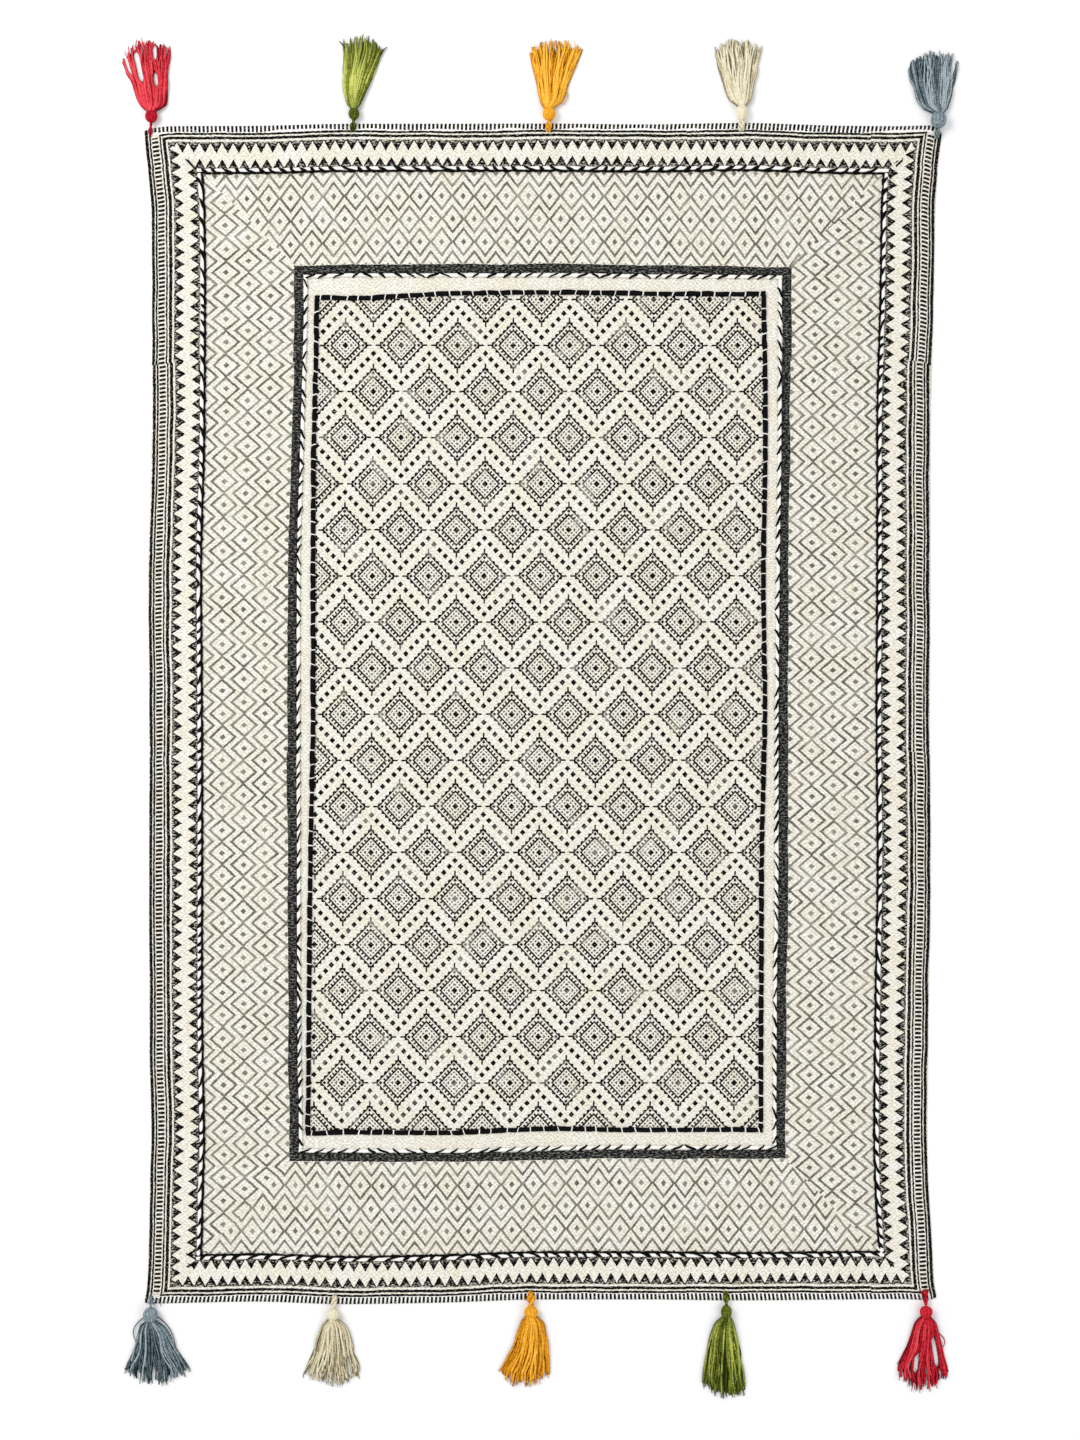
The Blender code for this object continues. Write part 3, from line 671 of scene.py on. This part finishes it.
def yarn_piece(name, strands, sides, slot, *replaced):
    """Many yarns as one mesh of closed tubes, with how far along and around each point is."""
    points, faces, uvs, tones, reaches = [], [], [], [], []
    start = 0
    turns = math.tau * np.arange(sides) / sides
    for strand in strands:
        path = np.asarray(strand.path)
        n = len(path)
        ahead = np.gradient(path, axis=0)
        ahead /= np.maximum(np.linalg.norm(ahead, axis=1, keepdims=True), 1e-9)
        right = np.cross(ahead, (0.0, 0.0, 1.0))
        right /= np.maximum(np.linalg.norm(right, axis=1, keepdims=True), 1e-9)
        up = np.cross(right, ahead)
        wide = np.broadcast_to(strand.wide, n)[:, None, None] / 2
        high = np.broadcast_to(strand.high, n)[:, None, None] / 2
        ring = np.cos(turns)[:, None] * right[:, None] * wide + np.sin(turns)[:, None] * up[:, None] * high
        points.append((path[:, None] + ring).reshape(-1, 3))
        gone = np.concatenate([[0], np.cumsum(np.linalg.norm(np.diff(path, axis=0), axis=1))])
        index = start + np.arange(n * sides).reshape(n, sides)
        beside = np.roll(index, -1, axis=1)
        faces += np.stack([index[:-1], index[1:], beside[1:], beside[:-1]], -1).reshape(-1, 4).tolist()
        faces += [index[0].tolist(), index[-1, ::-1].tolist()]
        u = np.repeat(gone / MM, sides).reshape(n, sides)
        v = np.tile(np.arange(sides) / sides, (n, 1))
        quads = np.stack([u[:-1], u[1:], u[1:], u[:-1]], -1).reshape(-1)
        rounds = np.stack([v[:-1], v[1:], v[1:] + 1 / sides, v[:-1] + 1 / sides], -1).reshape(-1)
        uvs += [np.stack([quads, rounds], -1), np.stack([u[0], v[0]], -1), np.stack([u[-1], v[-1]], -1)[::-1]]
        tones.append(np.full(n * sides, strand.tone))
        reaches.append(np.repeat(gone / max(gone[-1], 1e-9), sides))
        start += n * sides
    made = new_mesh_object(name, np.concatenate(points), faces, slot)
    tones, reaches = np.concatenate(tones), np.concatenate(reaches)
    write_on(made.data, "along", np.concatenate(uvs), tone=tones, reach=reaches)
    return placed(made, slot, *replaced)


def run_points(flat_path, spacing):
    """Evenly spaced places on the floor along a run on the cut cloth, the way to its left, and the travel."""
    x, y = laid(*flat_path)
    gone = np.concatenate([[0], np.cumsum(np.hypot(np.diff(x), np.diff(y)))])
    at = np.linspace(0, gone[-1], max(2, round(gone[-1] / spacing) + 1))
    x, y = np.interp(at, gone, x), np.interp(at, gone, y)
    dx, dy = np.gradient(x), np.gradient(y)
    size = np.hypot(dx, dy)
    return x, y, -dy / size, dx / size, at


def line_runs(side_at, end_at, half):
    """The four runs of a yarn line on the cut cloth: end runs through the corners, sides between."""
    runs = {}
    for name, end in (("top", 1), ("bottom", -1)):
        left = side_at(-1, end_at(end, -HALF_WIDTH)) - half
        right = side_at(1, end_at(end, HALF_WIDTH)) + half
        u = np.linspace(left, right, 200)
        runs[name] = (u, end_at(end, u) + 0 * u)
    for name, side in (("left", -1), ("right", 1)):
        bottom = end_at(-1, side_at(side, -HALF_LENGTH)) + half
        top = end_at(1, side_at(side, HALF_LENGTH)) - half
        v = np.linspace(bottom, top, 300)
        runs[name] = (side_at(side, v) + 0 * v, v)
    return runs


def straight_runs(side_in, end_in, half):
    """The runs of a line that keeps to its distances from the cloth's edges."""
    u0, v0 = HALF_WIDTH - side_in, HALF_LENGTH - end_in
    return line_runs(lambda side, v: side * u0, lambda end, u: end * v0, half)


# Ends of the outer line's yarns that stick out at the corners, in mm on the floor, from and to
LOOSE_ENDS = table(
    "run slot thick from_x from_y to_x to_y",
    ("top", "black_yarn", 2.8, -552.0, 861.0, -531.6, 841.1),
    ("top", "black_yarn", 2.2, -546.9, 841.1, -534.5, 838.3),
    ("top", "black_yarn", 2.2, 541.0, 843.0, 547.0, 830.0),
    ("top", "white_yarn", 2.6, 536.0, 842.5, 544.0, 829.0),
    ("bottom", "white_yarn", 3.4, 523.0, -830.0, 534.5, -846.0),
    ("bottom", "black_yarn", 2.4, -551.0, -843.5, -540.5, -849.5),
    ("bottom", "black_yarn", 2.4, -548.0, -859.5, -536.5, -865.5),
    ("snag", "mustard_yarn", 2.4, -536.0, 843.5, -531.5, 840.5),
)


def loose_end(end):
    """A short end of yarn lying on the cloth, thinner towards its tip."""
    x = np.linspace(end.from_x, end.to_x, 7) * MM
    y = np.linspace(end.from_y, end.to_y, 7) * MM
    thick = end.thick * np.array([0.5, 0.8, 1.0, 1.0, 1.0, 1.0, 0.9]) * MM
    return Strand(np.stack([x, y, cloth_top(x, y) + thick / 2 + 0.4 * MM], -1), thick, thick * 0.8, 0.4)


# The outer line: how far apart its turns are, and where along each run they change their slant
OUTER_HALF = 3.75 * MM
OUTER_TURN = 21.0 * MM
OUTER_UNEVEN = 0.48
TURNED_AT = {"left": 0.62, "right": 0.30, "top": 0.55, "bottom": 0.40}


def winding_path(phase, inner, over):
    """Sideways reach and height, in mm, of a yarn wound round a roving, by share of a turn."""
    shares = (0.0, 0.08, 0.22, 0.36, 0.60, 0.86, 0.94, 1.0)
    sideways = (0.8 * inner, inner, inner, 0.8 * inner, 0.0, -0.95 * inner, -0.5 * inner, 0.8 * inner)
    upwards = (0.9, 1.7, 2.0, 3.6, over, 2.2, 0.3, 0.9)
    return np.interp(phase % 1.0, shares, sideways), np.interp(phase % 1.0, shares, upwards)


def make_outer_line(chance):
    """Thick white roving, and a black yarn along its inner side that crosses it in long slanting turns."""
    made = []
    # On which side of the run the middle of the rug is
    inward = {"left": -1, "right": 1, "top": -1, "bottom": 1}
    for name, flat_path in straight_runs(SIDE_LINE_IN, END_LINE_IN, OUTER_HALF).items():
        ends = {"white_yarn": [], "black_yarn": []}
        for end in LOOSE_ENDS:
            if end.run == name:
                ends[end.slot].append(loose_end(end))
        x, y, left_x, left_y, at = run_points(flat_path, 2.4 * MM)
        turn = turns_along(at, OUTER_TURN, OUTER_UNEVEN, chance) / math.tau
        crossing = np.exp(-(((turn - 0.60 + 0.5) % 1.0 - 0.5) / 0.18) ** 2)
        wide = (5.8 - 2.4 * crossing) * MM
        high = (4.3 - 0.9 * crossing) * MM
        sag = -inward[name] * 0.9 * MM
        path = np.stack([x + left_x * sag, y + left_y * sag, cloth_top(x, y) + high / 2 - SUNK], -1)
        roving = [Strand(path, wide, high, 0.6)] + ends["white_yarn"]
        made.append(yarn_piece(f"outer_roving_{name}", roving, 12, "white_yarn", f"outer_yarn_{name}"))
        x, y, left_x, left_y, fine = run_points(flat_path, 1.5 * MM)
        turn = np.interp(fine, at, turn)
        # The yarn crosses the other way on the part of the run past this share of its length
        backwards = fine > fine[-1] * TURNED_AT[name]
        turn = np.where(backwards, turn, -turn + 0.2)
        reach, rise = winding_path(turn, 3.2, 4.6)
        reach = np.convolve(np.pad(reach, 1, mode="edge"), (0.25, 0.5, 0.25), "valid") * inward[name]
        thick = (4.3 + 1.1 * np.sin(turn * 9.0)) * MM
        ground = cloth_top(x, y)
        path = np.stack([x + left_x * reach * MM, y + left_y * reach * MM, ground + rise * MM], -1)
        wander = (3.3 + 0.5 * np.sin(turn * 4.1) + 0.3 * np.sin(turn * 13.7)) * inward[name] * MM
        beside = np.stack([x + left_x * wander, y + left_y * wander, ground + 1.3 * MM], -1)
        full = (3.3 + 0.9 * np.sin(turn * 7.3 + 1.0)) * MM
        winding = [Strand(path, thick, thick * 0.72, 0.35), Strand(beside, full, full * 0.8, 0.3)]
        made.append(yarn_piece(f"outer_winding_{name}", winding + ends["black_yarn"], 6, "black_yarn"))
    return made


def turns_along(at, pitch, uneven, chance):
    """Angle of a wound or stitched yarn along a run, its pitch a little uneven from turn to turn."""
    count = int(at[-1] / pitch) + 3
    steps = [0.0]
    for _ in range(count):
        steps.append(steps[-1] + pitch * (1 + chance.uniform(-uneven, uneven)))
    return np.interp(at, steps, math.tau * np.arange(count + 1))


# Lines sewn down, in mm: the soft yarn, thinner under each stitch, and the stitches over it
SEWN_LINES = table(
    "name core slot thread half core_step wide pinch high press held_over swell core_tone "
    "first spacing reach rise slant size uneven tone flips thread_sides",
    (
        "middle", "roving", "white_yarn", "black_yarn", 3.0, 2.4, 5.8, 1.6, 3.9, 0.5, 4.5, 0.0, 0.6,
        9.0, 20.5, 3.1, 4.2, 7.6, 3.3, 0.26, 0.1, 0.14, 5,
    ),
    (
        "inner", "cord", "black_yarn", "white_yarn", 2.9, 2.2, 7.7, 1.6, 4.0, 0.9, 2.4, 1.0, 0.4,
        8.0, 20.8, 4.1, 3.9, 1.0, 1.7, 0.20, 0.6, 0.30, 6,
    ),
)
SWELL_STEP = 11.0 * MM


def stitches(flat_path, line, chance):
    """Short stitches over a laid yarn, each an arc that goes down into the cloth on both sides."""
    x, y, left_x, left_y, at = run_points(flat_path, 1.5 * MM)
    arc = np.linspace(-1, 1, 7)
    found = []
    place = line.first * MM
    hand = 1
    while place < at[-1] - 4 * MM:
        k = int(np.clip(np.searchsorted(at, place), 1, len(at) - 2))
        if chance.random() < line.flips:
            hand = -hand
        lean = (hand * line.slant * (1 + chance.uniform(-0.35, 0.35)) + chance.uniform(-1, 1) * 0.8) * MM
        across = line.reach * MM
        px = x[k] + left_x[k] * across * arc + left_y[k] * lean * arc
        py = y[k] + left_y[k] * across * arc - left_x[k] * lean * arc
        pz = cloth_top(x[k], y[k]) + (line.rise + 0.4) * MM * np.sqrt(np.clip(1 - arc**2, 0, 1)) - 0.2 * MM
        wide = line.size * MM * (1 + chance.uniform(-0.25, 0.25))
        tone = line.tone + chance.uniform(-0.2, 0.2)
        found.append(Strand(np.stack([px, py, pz], -1), wide, wide * 0.6, tone))
        place += line.spacing * MM * (1 + chance.uniform(-line.uneven, line.uneven))
    return found


def make_sewn_line(line, runs, chance):
    made = []
    for name, flat_path in runs.items():
        sewn = stitches(flat_path, line, chance)
        x, y, left_x, left_y, at = run_points(flat_path, line.core_step * MM)
        held = np.zeros(len(x))
        for strand in sewn:
            middle = strand.path[len(strand.path) // 2]
            away = np.hypot(x - middle[0], y - middle[1])
            held = np.maximum(held, np.exp(-((away / (line.held_over * MM)) ** 2)))
        swell = np.zeros(len(x))
        if line.swell:
            knots = np.arange(0, at[-1] + 20 * MM, SWELL_STEP)
            swell = np.interp(at, knots, [chance.uniform(-1, 1) for _ in knots])
        wide = (line.wide - line.pinch * held + line.swell * swell) * MM
        high = (line.high - line.press * held) * MM
        sway = 0.5 * MM * np.roll(swell, 3)
        path = np.stack([x + left_x * sway, y + left_y * sway, cloth_top(x, y) + high / 2 - SUNK], -1)
        core = [Strand(path, wide, high, line.core_tone)]
        node = f"{line.name}_yarn_{name}"
        made.append(yarn_piece(f"{line.name}_{line.core}_{name}", core, 10, line.slot, node))
        made.append(yarn_piece(f"{line.name}_stitches_{name}", sewn, line.thread_sides, line.thread))
    return made


Station = namedtuple("Station", "out x")


def skirt_outline(head, skirt, side, out):
    """Distance in mm from the head's middle line to the skirt's left or right outline, some way out."""
    hand = "left" if side < 0 else "right"
    shoulder, mid, end, long = (getattr(skirt, f"{at}_{hand}") for at in ("shoulder", "mid", "end", "long"))
    start = head.long / 2
    neck = side * skirt.neck / 2
    stations = (
        Station(0.2 * start, neck * 0.45),
        Station(start, neck * 0.8),
        Station(start + 2.6, neck + (shoulder - neck) * 0.1),
        Station(SHOULDER_AT, shoulder),
        Station(MID_AT, mid),
        Station(long, end),
    )
    return value_at(stations, "x", out)


# Slits where the floor shows between the strands, in mm from the head's middle: where each begins and ends
GAPS = table(
    "tassel from_x from_out to_x to_out wide",
    ("top_red", -16.0, 56.0, -25.5, 102.0, 8.5),
    ("top_red", 7.0, 47.0, 4.6, 71.0, 6.5),
    ("top_red", 4.6, 89.0, 3.6, 112.0, 5.5),
    ("top_red", -33.0, 66.0, -42.0, 95.0, 4.5),
    ("bottom_red", -13.2, 66.0, -16.0, 97.0, 7.0),
    ("bottom_red", 11.0, 40.0, 18.0, 86.0, 6.5),
    ("bottom_cream", 22.0, 66.0, 26.0, 98.0, 3.5),
    ("top_grey", 20.0, 62.0, 26.0, 100.0, 3.5),
)

# Stray yarns, each a curve through three places on the floor, in mm
STRAY_YARNS = table(
    "tassel thick tone x1 y1 x2 y2 x3 y3",
    ("top_green", 2.4, -0.3, -256.0, 1006.0, -246.0, 1026.0, -237.5, 1035.0),
    ("top_green", 1.8, -0.3, -303.0, 1033.0, -308.0, 1040.0, -312.5, 1044.5),
    ("top_mustard", 1.7, 0.5, 37.5, 973.0, 43.4, 959.5, 36.5, 945.0),
    ("bottom_grey", 1.6, -0.1, -612.0, -941.0, -632.0, -961.0, -627.0, -984.0),
    ("bottom_grey", 1.6, -0.1, -598.0, -940.5, -575.0, -964.0, -567.0, -996.0),
    ("bottom_grey", 1.4, 0.2, -601.8, -923.5, -594.0, -914.5, -590.5, -926.5),
    ("bottom_red", 1.6, 0.2, 619.0, -966.0, 630.5, -980.0, 624.0, -994.0),
)

# How light each dyed yarn looks at either end of the rug, in its skirts and heads, and how uneven it is
YARN_TONES = table(
    "slot top bottom top_head bottom_head uneven",
    ("red_yarn", 0.21, -0.04, 0.12, 0.30, 1.00),
    ("green_yarn", 0.22, -0.22, -0.06, 0.06, 1.45),
    ("mustard_yarn", 0.18, 0.00, 0.48, 0.44, 0.95),
    ("cream_yarn", 0.16, 0.02, 0.74, 0.68, 0.95),
    ("grey_yarn", 0.13, -0.03, 0.46, 0.48, 1.05),
)

LAYERS = 3
STRANDS_A_LAYER = 19
STRAYS = 18
STRAND_POINTS = 19
STRAND_THICK = 3.8
STRAY_THICK = 1.9
HEAD_RINGS, HEAD_SIDES, HEAD_RIDGES = 22, 60, 20


def yarn_tone(head):
    """The row of tones for a tassel's yarn."""
    return next(row for row in YARN_TONES if row.slot == head.slot)


def head_tone(head):
    yarn = yarn_tone(head)
    return yarn.top_head if head.end > 0 else yarn.bottom_head


def stray_strand(stray):
    """A loose yarn along a curve through its three places, just above the floor or the cloth."""
    along = np.linspace(-1, 1, 13)
    x = stray.x2 + (stray.x3 - stray.x1) / 2 * along + ((stray.x1 + stray.x3) / 2 - stray.x2) * along**2
    y = stray.y2 + (stray.y3 - stray.y1) / 2 * along + ((stray.y1 + stray.y3) / 2 - stray.y2) * along**2
    z = np.where(np.abs(y) < HALF_LENGTH / MM + 4, CLOTH / MM + 2.0, 2.6) + stray.thick / 2
    thick = stray.thick * (1 - 0.35 * np.clip(along, 0, 1)) * MM
    return Strand(np.stack([x, y, z], -1) * MM, thick, thick * 0.9, stray.tone)


def make_skirt(head, skirt, chance):
    """Loose cut yarns fanned out from under the head, in layers, gathered here and there into locks."""
    strands = []
    gaps = [gap for gap in GAPS if gap.tassel == head.name]
    yarn = yarn_tone(head)
    for i in range(LAYERS * STRANDS_A_LAYER + STRAYS):
        stray = i >= LAYERS * STRANDS_A_LAYER
        layer = i % LAYERS
        place = (i // LAYERS) % STRANDS_A_LAYER + 0.5 + chance.uniform(-0.45, 0.45)
        across = -1 + 2 * place / STRANDS_A_LAYER
        if stray:
            across = chance.uniform(-1, 1)
        across = float(np.clip(across, -0.97, 0.97))
        edge_long = skirt.long_left if across < 0 else skirt.long_right
        long = skirt.long_mid + (edge_long - skirt.long_mid) * across * across
        if stray:
            long *= 1 + chance.uniform(-0.02, 0.03)
        else:
            long *= 1 + chance.uniform(-0.085, 0.0) - 0.015 * (LAYERS - 1 - layer)
        share = np.linspace(0, 1, STRAND_POINTS)
        start = 0.25 * head.long
        out = start + (long - start) * share
        # The top strands gather into locks and cross one another now and then
        locks = 8 + 2 * layer
        lock = (math.floor((across + 1) / 2 * locks) + 0.5) / locks * 2 - 1
        pull = (lock - across) * (0.35 + chance.uniform(-0.30, 0.40)) * (1 - across**6)
        bend = chance.uniform(0.015, 0.085) * np.sin(share * chance.uniform(5, 15) + chance.uniform(0, 6))
        spread = across + pull * share**1.3 + bend * share**0.7 + chance.uniform(-0.11, 0.11) * share**2
        left = skirt_outline(head, skirt, -1, out)
        right = skirt_outline(head, skirt, 1, out)
        thick = STRAY_THICK if stray else STRAND_THICK * (1 + chance.uniform(-0.28, 0.25))
        x = (left + right) / 2 + ((right - left) / 2 - thick / 2) * np.clip(spread, -1.0, 1.0)
        # Each strand keeps to its own side of a slit, and the strands beside it lie low
        low = np.ones(STRAND_POINTS)
        for gap in gaps:
            there = np.clip(np.minimum(out - gap.from_out, gap.to_out - out) / 10.0 + 0.5, 0, 1)
            there = there * there * (3 - 2 * there)
            middle = np.interp(out, (gap.from_out, gap.to_out), (gap.from_x, gap.to_x))
            hand = 1.0 if np.average(x - middle, weights=there + 1e-6) >= 0 else -1.0
            room = gap.wide / 2 + thick / 2
            x = x + hand * there * np.maximum(room - hand * (x - middle), 0)
            low = low * (1 - 0.75 * there * np.exp(-(((x - middle) / 11.0) ** 2)))
        top = value_at(SKIRT_ROWS, "top", share)
        under = value_at(SKIRT_ROWS, "under", share)
        dome = np.sqrt(np.clip(1 - across**2 * 0.9, 0, 1))
        rise = (top - under - thick) * dome * (0.10 + 0.42 * layer)
        z = under + thick / 2 + np.maximum(rise, 0.0) * low
        z = z + 0.8 * np.sin(share * chance.uniform(7, 16) + chance.uniform(0, 6)) * share
        z = np.maximum(z, thick / 2 + 0.1)
        path = np.stack([head.head_x + x, head.end * (HALF_LENGTH / MM + head.head_out + out), z], -1) * MM
        taper = np.clip(1.0 - 0.42 * share**7 + 0.12 * np.sin(share * 17 + i), 0.4, 1.2) * thick * MM
        # Painted shade: each lower layer of strands is darker, by 0.24 a layer; on top of that comes a tone
        # that differs at random from strand to strand, and the yarn's tone at this end of the rug
        tone = 0.24 * layer + yarn.uneven * chance.uniform(-0.45, 0.45)
        tone += yarn.top if head.end > 0 else yarn.bottom
        strands.append(Strand(path, taper, taper * 0.9, tone))
    strands += [stray_strand(stray) for stray in STRAY_YARNS if stray.tassel == head.name]
    return yarn_piece(f"{head.name}_fringe", strands, 6, head.slot, f"{head.name}_skirt")


def make_head(head):
    """Ball of yarns folded over and tied: fine ridges run from the loop to the neck."""
    high = min(head.wide, head.long) * HEAD_FLAT
    polar, turn = np.mgrid[0 : HEAD_RINGS + 1, 0:HEAD_SIDES]
    polar, turn = math.pi * polar / HEAD_RINGS, math.tau * turn / HEAD_SIDES
    groove = 1 - 0.022 * np.abs(np.cos(HEAD_RIDGES / 2 * turn + 1.2 * polar)) ** 6 * np.sin(polar)
    ring = np.abs(np.sin(polar)) ** 0.9 * groove
    points = np.stack([
        head.head_x + head.wide / 2 * ring * np.cos(turn),
        head.end * (HALF_LENGTH / MM + head.head_out - head.long / 2 * np.cos(polar)),
        high / 2 * (1 + ring * np.sin(turn)) + GAP / MM,
    ], -1).reshape(-1, 3)
    index = np.arange(polar.size).reshape(polar.shape)
    beside = np.roll(index, -1, axis=1)
    faces = np.stack([index[:-1], beside[:-1], beside[1:], index[1:]], -1).reshape(-1, 4)[:, :: head.end]
    made = new_mesh_object(f"{head.name}_ball", points * MM, faces.tolist(), head.slot)
    corners = corner_points(made.data)
    wrap = (corners % HEAD_SIDES / HEAD_SIDES * 6 + corners // HEAD_SIDES / HEAD_RINGS * 0.5) * 8.0
    level = np.full(len(points), head_tone(head))
    write_on(made.data, "along", np.stack([wrap, 0 * wrap + 0.25], -1), tone=level, reach=0 * level)
    bpy.ops.object.select_all(action="DESELECT")
    bpy.context.view_layer.objects.active = made
    made.select_set(True)
    bpy.ops.object.mode_set(mode="EDIT")
    bpy.ops.mesh.select_all(action="SELECT")
    bpy.ops.mesh.remove_doubles(threshold=0.00001)
    bpy.ops.mesh.normals_make_consistent(inside=False)
    bpy.ops.object.mode_set(mode="OBJECT")
    return placed(made, head.slot, f"{head.name}_head")


# Loops whose yarns fan out, frayed, where they are sewn to the cloth
FRAYS = table("tassel wide count long", ("bottom_red", 10.5, 6, 13.0))


def frayed_strands(fray, head, root_y, chance):
    """The loop's yarns, fanned out where they are sewn to the cloth."""
    strands = []
    share = np.linspace(0, 1, 8)
    for k in range(fray.count):
        spread = (-1 + 2 * k / (fray.count - 1)) * fray.wide / 2
        x = head.stem_x + spread * (1 - 0.85 * share)
        y = head.end * (root_y - 2.0 + chance.uniform(-2.0, 2.5) + fray.long * share)
        z = cloth_top(x * MM, y * MM) / MM + 1.4 + 1.4 * np.sin(math.pi * share)
        strands.append(Strand(np.stack([x, y, z], -1) * MM, 2.6 * MM, 2.2 * MM, chance.uniform(-0.15, 0.25)))
    return strands


def make_loop(head, chance):
    """Two yarns twisted together, from the hem to the head; those of the loops listed in FRAYS are also
    splayed where they are sewn down.
    """
    root_y = HALF_LENGTH / MM - head.root_in
    stop_y = HALF_LENGTH / MM + head.head_out - head.long * 0.40
    share = np.linspace(0, 1, 24)
    x = head.stem_x + (head.head_x - head.stem_x) * share
    y = root_y + (stop_y - root_y) * share
    ground = cloth_top(x * MM, head.end * y * MM) / MM
    # Fullest over the hem, drawn thin at the head, and up to the head's middle
    full = value_at(LOOP_FULL, "wide", share) * head.loop_wide
    size = full * 0.60
    rest = ground + size * 0.62
    rest[0] = ground[0] + size[0] * 0.1
    middle = min(head.wide, head.long) * HEAD_FLAT / 2
    z = rest + np.maximum(middle - rest, 0) * share * share * (3 - 2 * share)
    turn = share * chance.uniform(5.2, 6.4) + chance.uniform(0, 1)
    strands = []
    for half, lighter in ((0, 0.0), (math.pi, 0.20)):
        path = np.stack([
            x + full * 0.27 * np.cos(turn + half),
            head.end * y,
            np.maximum(z + full * 0.18 * np.sin(turn + half), size * 0.4 + 0.1),
        ], -1)
        strands.append(Strand(path * MM, size * MM, size * 0.85 * MM, head_tone(head) - 0.08 + lighter))
    for fray in FRAYS:
        if fray.tassel == head.name:
            strands += frayed_strands(fray, head, root_y, chance)
    return yarn_piece(f"{head.name}_cord", strands, 8, head.slot, f"{head.name}_loop")


def make_tassels():
    chance = random.Random(31)
    made = []
    for head, skirt in zip(HEADS, SKIRTS):
        made += [make_skirt(head, skirt, chance), make_head(head), make_loop(head, chance)]
    # A snag of mustard yarn caught at a corner of the outer line
    snag = [loose_end(end) for end in LOOSE_ENDS if end.run == "snag"]
    return made + [yarn_piece("mustard_snag", snag, 6, "mustard_yarn")]


LIGHTS = table(
    "name x y z size power",
    ("window_light", -2.6, 1.6, 3.4, 2.2, 92.0),
    ("fill_light", 2.8, -1.8, 3.4, 3.0, 34.0),
)
FLOOR_SIZE = 14.0


def make_surroundings():
    """Plain pale floor, soft studio light from the upper left, and the camera straight above."""
    bpy.ops.object.select_all(action="DESELECT")
    bpy.ops.mesh.primitive_plane_add(size=FLOOR_SIZE)
    floor = bpy.context.active_object
    floor.name = "studio_floor"
    put, finish = new_material("matt_white_studio_floor")
    floor.data.materials.append(finish(Base_Color=linear("FBFBFC"), Roughness=0.95, Specular_IOR_Level=0.1))
    world = bpy.data.worlds.new("studio")
    bpy.context.scene.world = world
    world.use_nodes = True
    background = world.node_tree.nodes["Background"].inputs
    background["Color"].default_value = linear("FFFFFF")
    background["Strength"].default_value = 0.72
    for light in LIGHTS:
        data = bpy.data.lights.new(light.name, "AREA")
        data.shape = "DISK"
        data.size = light.size
        data.energy = light.power
        lamp = bpy.data.objects.new(light.name, data)
        lamp.location = (light.x, light.y, light.z)
        lamp.rotation_euler = (-lamp.location).to_track_quat("-Z", "Y").to_euler()
        bpy.context.scene.collection.objects.link(lamp)
    data = bpy.data.cameras.new("camera")
    data.lens = LENS
    data.sensor_width = SENSOR
    camera = bpy.data.objects.new("camera", data)
    x = (PHOTO_MIDDLE[0] - RUG_MIDDLE[0]) * PIXEL
    y = (RUG_MIDDLE[1] - PHOTO_MIDDLE[1]) * PIXEL
    camera.location = (x, y, CLOTH + PHOTO_HIGH * PIXEL * LENS / SENSOR)
    bpy.context.scene.collection.objects.link(camera)
    bpy.context.scene.camera = camera
    bpy.context.scene.view_settings.view_transform = "Standard"


rug = make_rug()
chance = random.Random(7)
middle, inner = SEWN_LINES
middle_runs = straight_runs(SIDE_BAND_IN + MIDDLE_SIDE_IN, END_BAND_IN + MIDDLE_END_IN, middle.half * MM)
inner_runs = line_runs(inner_side_at, inner_end_at, inner.half * MM)
lines = make_outer_line(chance)
lines += make_sewn_line(middle, middle_runs, chance)
lines += make_sewn_line(inner, inner_runs, chance)
tassels = make_tassels()
make_surroundings()
